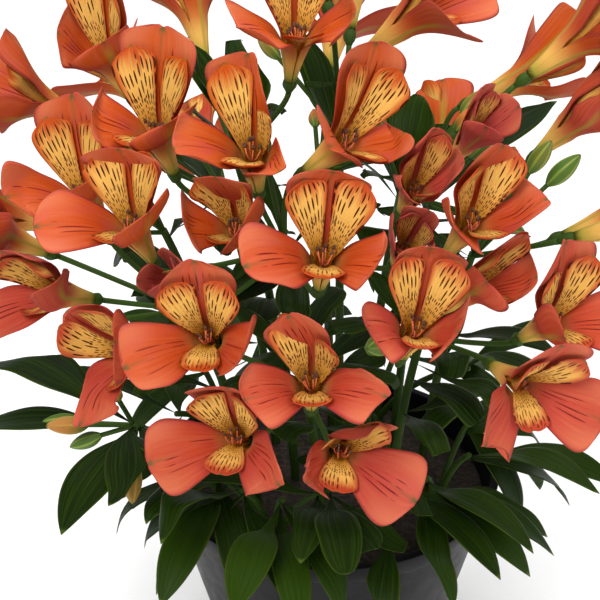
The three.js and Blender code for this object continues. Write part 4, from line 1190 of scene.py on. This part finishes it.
def make_soil(finishes):
    def side(z):
        return wall_radius(z) - POT_WALL - 1.1 * GAP

    bottom = POT_FLOOR + GAP
    edge = side(SOIL_TOP)
    shares = np.linspace(1, 0.03, 34)
    rings = [(edge * share, SOIL_TOP + SOIL_MOUND * min(1, 2 * (1 - share))) for share in shares]
    profile = [(0, bottom), (side(bottom), bottom), *rings, (0, SOIL_TOP + SOIL_MOUND)]
    draw = make_draw(SOIL_SEED)
    waves = [(0.05 + 0.5 * draw(), 0.05 + 0.5 * draw(), 6 * draw(), 6 * draw())
             for _ in range(SOIL_WAVES)]

    def bump(points):
        x, y = points[..., 0], points[..., 1]
        lumps = SOIL_LUMPS * np.sin(x * 0.19) * np.cos(y * 0.23)
        for kx, ky, px, py in waves:
            lumps = lumps + SOIL_WAVE * np.sin(kx * x + px) * np.cos(ky * y + py)
        inside = np.clip((edge - np.hypot(x, y)) / 8, 0, 1)
        return np.where(points[..., 2] > SOIL_TOP + 0.01, lumps * inside, 0)

    shape = Shape()
    lathe(shape, profile, bump)
    shape.build("potting_soil", finishes, "soil", ["soil"])


# Materials. Colours are linear.
CORAL = (0.38, 0.040, 0.007)
ORANGE = (0.43, 0.058, 0.003)
PINK = (0.40, 0.052, 0.046)
PALE_CORAL = (0.52, 0.15, 0.070)
RIM_PINK = (0.36, 0.030, 0.034)
YELLOW = (0.68, 0.38, 0.085)
THROAT = (0.46, 0.19, 0.006)
DASH = (0.055, 0.006, 0.003)
STREAK_RED = (0.13, 0.006, 0.005)
NOTCH_GREEN = (0.06, 0.075, 0.02)
CLAW_GREEN = (0.28, 0.27, 0.03)
TIP_GREEN = (0.05, 0.09, 0.015)
FILAMENT = (0.62, 0.12, 0.04)
ANTHER = (0.12, 0.06, 0.03)
STALK = (0.032, 0.070, 0.008)
STALK_RED = (0.10, 0.055, 0.016)
LEAF_DARK = (0.005, 0.014, 0.0005)
LEAF_FRESH = (0.024, 0.056, 0.002)
LEAF_EDGE = (0.13, 0.20, 0.02)
BUD_GREEN = (0.075, 0.15, 0.018)
BUD_RIB = (0.27, 0.34, 0.045)
BUD_ORANGE = (0.62, 0.17, 0.035)
POT_BLACK = (0.002, 0.002, 0.0025)
POT_GREY = (0.005, 0.005, 0.006)
SOIL_DARK = (0.012, 0.008, 0.005)
SOIL_LIGHT = (0.045, 0.028, 0.017)
FLOOR = (0.92, 0.92, 0.92)

# How all petals shine, and how many veins run along a leaf
PETAL_GLOSS = {
    "Roughness": 0.6, "Specular_IOR_Level": 0.1, "Subsurface_Weight": 0.1, "Subsurface_Scale": 0.002,
}
LEAF_VEINS = 5.5


class Paint:
    """A material and short ways to make its nodes. An input is a socket, a number or a colour."""

    def __init__(self, name, **settings):
        self.material = bpy.data.materials.new(name)
        self.material.use_nodes = True
        self.tree = self.material.node_tree
        self.shader = self.tree.nodes["Principled BSDF"]
        for socket, value in settings.items():
            self.shader.inputs[socket.replace("_", " ")].default_value = value

    def connect(self, value, socket):
        if isinstance(value, bpy.types.NodeSocket):
            self.tree.links.new(value, socket)
        elif isinstance(value, tuple):
            socket.default_value = (*value, 1)
        else:
            socket.default_value = value

    def node(self, kind, inputs, **settings):
        """A new node with its settings, and its inputs by name or number."""
        made = self.tree.nodes.new("ShaderNode" + kind)
        for setting, value in settings.items():
            setattr(made, setting, value)
        for key, value in inputs.items():
            self.connect(value, made.inputs[key])
        return made

    def math(self, operation, *values):
        return self.node("Math", dict(enumerate(values)), operation=operation).outputs[0]

    def plus(self, first, second):
        return self.math("ADD", first, second)

    def minus(self, first, second):
        return self.math("SUBTRACT", first, second)

    def times(self, product, *factors):
        for factor in factors:
            product = self.math("MULTIPLY", product, factor)
        return product

    def larger(self, first, second):
        return self.math("MAXIMUM", first, second)

    def attribute(self, name):
        return self.node("Attribute", {}, attribute_name=name).outputs

    def place(self):
        """How far along and across the sheet or tube, and its lot."""
        return self.node("SeparateXYZ", {0: self.attribute("place")["Vector"]}).outputs

    def tint(self):
        return self.attribute("tint")["Fac"]

    def vector(self, *values):
        return self.node("CombineXYZ", dict(enumerate(values))).outputs[0]

    def noise(self, vector, scale, detail=3.0):
        return self.node("TexNoise", {"Vector": vector, "Scale": scale, "Detail": detail}).outputs["Fac"]

    def stretched_noise(self, values, stretches, scale=1.0, detail=2.0):
        """Noise over three values, each multiplied by its stretch."""
        vector = self.vector(*(self.times(value, stretch) for value, stretch in zip(values, stretches)))
        return self.noise(vector, scale, detail)

    def chance(self, *values):
        """A random number for each set of three values."""
        inputs = {"Vector": self.vector(*values)}
        return self.node("TexWhiteNoise", inputs, noise_dimensions="3D").outputs["Value"]

    def ramp(self, value, low, high, start=0.0, end=1.0):
        """Start where the value is low, end where it is high, and smooth between."""
        inputs = dict(enumerate((value, low, high, start, end)))
        return self.node("MapRange", inputs, interpolation_type="SMOOTHSTEP").outputs[0]

    def within(self, value, start, full, fading, end):
        """1 from full to fading, and 0 before the start and past the end."""
        return self.times(self.ramp(value, start, full), self.ramp(value, end, fading))

    def by_face(self, lot, under, upper):
        """One number on a sheet's under side, where the lot is negative, and one on its upper side."""
        return self.ramp(lot, -0.01, 0.01, under, upper)

    def blend(self, first, second, share):
        return self.node("Mix", {0: share, 6: first, 7: second}, data_type="RGBA").outputs[2]

    def coats(self, body, *coats):
        """Lays colours over a body one after another, each with its share."""
        for colour, share in coats:
            body = self.blend(body, colour, share)
        return body

    def bump(self, height, distance, strength):
        node = self.node("Bump", {"Strength": strength, "Distance": distance, "Height": height})
        self.connect(node.outputs[0], self.shader.inputs["Normal"])

    def finish(self, colour):
        self.connect(colour, self.shader.inputs["Base Color"])
        return self.material


def streaks(paint, t, u, lot, columns, rows, wide, long, left_out):
    """Short dark dashes in rows along a petal, as a mask from 0 to 1. A share is left out."""
    column = paint.plus(paint.times(u, columns), paint.times(lot, 3.7))
    column_number = paint.math("FLOOR", column)
    shift = paint.chance(column_number, paint.times(lot, 91.7), 2.5)
    row = paint.plus(paint.times(t, rows), shift)
    picked = paint.chance(column_number, paint.math("FLOOR", row), paint.times(lot, 57.3))
    off_column = paint.math("DIVIDE", paint.minus(paint.math("FRACT", column), 0.5), wide)
    off_row = paint.math("DIVIDE", paint.minus(paint.math("FRACT", row), 0.5), long)
    off = paint.plus(paint.times(off_column, off_column), paint.times(off_row, off_row))
    return paint.times(paint.ramp(off, 1.1, 0.85), paint.ramp(picked, left_out, left_out + 0.02))


def fine_veins(paint, t, u, lot, scale):
    """Fine lines that run along a petal or leaf."""
    return paint.stretched_noise((u, t, lot), (scale, 1.6, 23.0))


def outer_petal_paint():
    paint = Paint("outer_petal", **PETAL_GLOSS)
    t, u, lot = paint.place()
    tint = paint.tint()
    side = paint.math("ABSOLUTE", u)
    veins = fine_veins(paint, t, u, lot, 9.0)
    cloud = paint.stretched_noise((u, t, lot), (1.5, 2.0, 31.0))
    wide_part = paint.times(paint.ramp(t, 0.35, 0.85), paint.by_face(lot, 0.3, 1.0))
    rim = paint.larger(paint.ramp(side, 0.9, 1.0), paint.ramp(t, 0.93, 1.0))
    dashes = streaks(paint, t, u, lot, 6.0, 2.2, 0.13, 0.46, 0.42)
    zone = paint.times(paint.within(t, 0.12, 0.22, 0.7, 0.82), paint.ramp(side, 0.45, 0.36))
    tip = paint.times(paint.ramp(t, 0.86, 0.97), paint.ramp(side, 0.2, 0.04), 0.85)
    crease = paint.times(paint.ramp(t, 0.55, 0.92), paint.ramp(side, 0.07, 0.01), 0.4)
    under_rib = paint.times(paint.by_face(lot, 1.0, 0.0), paint.ramp(side, 0.25, 0.0, 0.0, 0.6))
    body = paint.coats(
        ORANGE,
        (CORAL, paint.ramp(tint, 0.0, 0.35)),
        (PINK, paint.ramp(tint, 0.12, 0.8)),
        (PALE_CORAL, paint.ramp(veins, 0.4, 0.75, 0.0, 0.24)),
        (PINK, paint.ramp(cloud, 0.45, 0.75, 0.0, 0.55)),
        (PALE_CORAL, paint.times(wide_part, paint.ramp(side, 0.15, 0.8, 0.15, 0.6))),
        (RIM_PINK, paint.times(rim, 0.5)),
        (YELLOW, paint.ramp(t, 0.25, -0.45)),
        (CLAW_GREEN, paint.ramp(t, -0.45, -1.0)),
        (STREAK_RED, paint.times(dashes, zone, paint.by_face(lot, 0.0, 1.0))),
        (NOTCH_GREEN, paint.larger(tip, crease)),
        (CLAW_GREEN, paint.times(under_rib, paint.ramp(t, 0.95, 0.3))),
    )
    paint.bump(veins, 0.0004, 0.7)
    return paint.finish(body)


def inner_petal_paint():
    """The streaked pair and the lip, all yellow with a coral rim. A lip has a tint over 1."""
    paint = Paint("inner_petal", **PETAL_GLOSS)
    t, u, lot = paint.place()
    tint = paint.tint()
    side = paint.math("ABSOLUTE", u)
    lip = paint.ramp(tint, 0.999, 1.0)
    veins = fine_veins(paint, t, u, lot, 8.0)
    wavy = paint.plus(t, paint.times(paint.minus(veins, 0.5), 0.4))
    rim = paint.ramp(paint.plus(wavy, paint.times(lip, 0.1)), 0.62, 0.96)
    edge = paint.times(paint.ramp(side, 0.55, 1.0), paint.ramp(t, 0.2, 0.7, 0.25, 0.9))
    long_dashes = streaks(paint, t, u, lot, 4.6, 5.2, 0.2, 0.42, 0.28)
    fine_dashes = streaks(paint, t, u, paint.plus(lot, 0.37), 6.0, 14.0, 0.24, 0.36, 0.28)
    inked = paint.larger(
        paint.times(long_dashes, paint.within(t, 0.3, 0.42, 0.86, 0.96)),
        paint.times(fine_dashes, paint.within(t, -0.5, -0.2, 0.4, 0.52)))
    strength = paint.times(paint.by_face(lot, 0.25, 1.0), paint.ramp(lip, 0.0, 1.0, 1.0, 0.85))
    body = paint.coats(
        THROAT,
        (YELLOW, paint.ramp(t, -0.1, 0.5)),
        (paint.blend(ORANGE, PINK, paint.math("FRACT", tint)), paint.larger(rim, edge)),
        (DASH, paint.times(inked, strength)),
        (TIP_GREEN, paint.times(paint.ramp(t, 0.96, 1.0), paint.ramp(side, 0.5, 0.2, 0.0, 0.7))),
    )
    paint.bump(veins, 0.0004, 0.7)
    return paint.finish(body)


def plain_paint(name, dark, light, scale, roughness):
    """A colour that wanders a little between two, for the small parts."""
    paint = Paint(name, Roughness=roughness)
    grain = paint.stretched_noise(paint.place(), (3.0, 2.0, 1.0), scale, 3.0)
    paint.bump(grain, 0.0003, 0.4)
    return paint.finish(paint.blend(dark, light, paint.ramp(grain, 0.35, 0.65)))


def stalk_paint():
    paint = Paint("stalk", Roughness=0.55, Specular_IOR_Level=0.12)
    t, u, lot = paint.place()
    grain = paint.stretched_noise((u, t, lot), (9.0, 4.0, 1.0), 2.0, 3.0)
    body = paint.coats(
        LEAF_DARK,
        (STALK, paint.ramp(paint.tint(), 0.0, 0.5)),
        (STALK_RED, paint.ramp(grain, 0.55, 0.8, 0.0, 0.5)),
    )
    paint.bump(grain, 0.0004, 0.4)
    return paint.finish(body)


def leaf_paint():
    paint = Paint("leaf", Roughness=0.45, Specular_IOR_Level=0.08)
    t, u, lot = paint.place()
    veins = paint.ramp(paint.math("COSINE", paint.times(u, LEAF_VEINS * math.pi)), 0.55, 1.0)
    grain = fine_veins(paint, t, u, lot, 12.0)
    margin = paint.ramp(paint.math("ABSOLUTE", u), 0.93, 1.0, 0.0, 0.45)
    body = paint.coats(
        LEAF_DARK,
        # The tint pales the dark green; a low tint is partly the leaf's own darker green and partly
        # painted shade of the plant's dark inside
        (LEAF_FRESH, paint.ramp(paint.tint(), 0.0, 1.0)),
        (LEAF_FRESH, paint.ramp(grain, 0.4, 0.75, 0.0, 0.6)),
        (LEAF_FRESH, paint.times(veins, 0.18)),
        (LEAF_EDGE, paint.larger(margin, paint.ramp(t, 0.94, 1.0, 0.0, 0.6))),
        (LEAF_FRESH, paint.by_face(lot, 0.5, 0.0)),
    )
    paint.bump(paint.minus(paint.times(grain, 0.4), paint.times(veins, 0.6)), 0.0007, 0.6)
    return paint.finish(body)


def bud_paint():
    paint = Paint("bud", Roughness=0.5, Specular_IOR_Level=0.3)
    t, u, lot = paint.place()
    rib = paint.math("COSINE", paint.times(u, RIBS * 2 * math.pi))
    grain = fine_veins(paint, t, paint.times(u, 4.0), lot, 8.0)
    body = paint.coats(
        BUD_GREEN,
        (BUD_RIB, paint.ramp(rib, 0.2, 1.0, 0.0, 0.75)),
        (BUD_ORANGE, paint.times(paint.ramp(paint.tint(), 0.35, 0.75), paint.ramp(t, 0.15, 0.6))),
        (BUD_GREEN, paint.ramp(grain, 0.5, 0.8, 0.0, 0.5)),
        (TIP_GREEN, paint.ramp(t, 0.92, 1.0, 0.0, 0.8)),
    )
    paint.bump(grain, 0.0004, 0.5)
    return paint.finish(body)


def pot_paint():
    paint = Paint("pot_plastic", Specular_IOR_Level=0.12)
    spot = paint.attribute("place")["Vector"]
    paint.bump(paint.noise(spot, 160.0, 2.0), 0.00015, 0.35)
    smudges = paint.ramp(paint.noise(spot, 12.0), 0.3, 0.7, 0.4, 0.5)
    paint.connect(smudges, paint.shader.inputs["Roughness"])
    return paint.finish(paint.blend(POT_BLACK, POT_GREY, paint.ramp(paint.noise(spot, 3.0), 0.3, 0.7)))


def soil_paint():
    paint = Paint("soil", Roughness=0.95)
    crumbs = paint.noise(paint.attribute("place")["Vector"], 40.0, 6.0)
    paint.bump(crumbs, 0.002, 0.9)
    return paint.finish(paint.blend(SOIL_DARK, SOIL_LIGHT, paint.ramp(crumbs, 0.4, 0.7)))


# The stage: a floor, soft light and the camera at the photograph's angle, in metres and degrees
CAMERA_TARGET = Vector((-0.0154, 0.0, 0.226))
CAMERA_DISTANCE = 0.95
CAMERA_ELEVATION = 30
PICTURE_WIDTH = 0.294
SENSOR_WIDTH = 36.0
LIGHT_TARGET = (0, 0, 0.2)
WORLD_LIGHT = 0.4
FLOOR_SIZE = 12.0


def aim(thing, place, target):
    """Puts a camera or a light in its place and turns it to its target."""
    thing.location = place
    thing.rotation_mode = "QUATERNION"
    thing.rotation_quaternion = (Vector(target) - Vector(place)).to_track_quat("-Z", "Y")


def make_camera():
    data = bpy.data.cameras.new("camera")
    data.sensor_width = SENSOR_WIDTH
    data.lens = SENSOR_WIDTH * CAMERA_DISTANCE / PICTURE_WIDTH
    camera = place_object("camera", data)
    back = Vector(direction(0, CAMERA_ELEVATION))
    aim(camera, CAMERA_TARGET + back * CAMERA_DISTANCE, CAMERA_TARGET)
    bpy.context.scene.camera = camera


def make_light(name, place, size, power):
    data = bpy.data.lights.new(name, "AREA")
    data.shape = "DISK"
    data.size = size
    data.energy = power
    aim(place_object(name, data), place, LIGHT_TARGET)


def make_stage():
    half = FLOOR_SIZE / 2
    mesh = bpy.data.meshes.new("floor")
    corners = [(-half, -half, 0), (half, -half, 0), (half, half, 0), (-half, half, 0)]
    mesh.from_pydata(corners, [], [(0, 1, 2, 3)])
    mesh.materials.append(Paint("floor", Roughness=0.8, Base_Color=(*FLOOR, 1)).material)
    floor = place_object("floor", mesh)
    world = bpy.data.worlds.new("studio")
    world.use_nodes = True
    background = world.node_tree.nodes["Background"]
    background.inputs["Color"].default_value = (1, 1, 1, 1)
    background.inputs["Strength"].default_value = WORLD_LIGHT
    bpy.context.scene.world = world
    make_light("key", (-0.5, -1.4, 1.7), 1.0, 37)
    make_light("fill", (1.2, -1.0, 1.1), 1.2, 10)
    make_light("top", (0.1, 0.6, 2.0), 1.4, 30)
    bpy.context.scene.view_settings.view_transform = "Standard"


blooms = list_blooms()
stems = list_stems(blooms)
clumps = list_clumps()
for number, stem in enumerate(stems):
    add_buds(stem, number)
for number, clump in enumerate(clumps):
    add_shoot_leaves(clump, number)
for number, stem in enumerate(stems):
    add_stem_leaves(stem, number)

make_camera()
make_stage()
bloom_finishes = [
    outer_petal_paint(),
    inner_petal_paint(),
    plain_paint("filament", FILAMENT, PALE_CORAL, 2.0, 0.5),
    plain_paint("anther", ANTHER, DASH, 3.0, 0.8),
]
green_finishes = [stalk_paint(), leaf_paint(), bud_paint()]
make_pot([pot_paint()])
make_soil([soil_paint()])
for number, stem in enumerate(stems):
    make_stem(stem, number, green_finishes)
for number, clump in enumerate(clumps):
    make_clump(clump, number, green_finishes)
for number, bloom in enumerate(blooms):
    make_bloom(bloom, number, bloom_finishes)
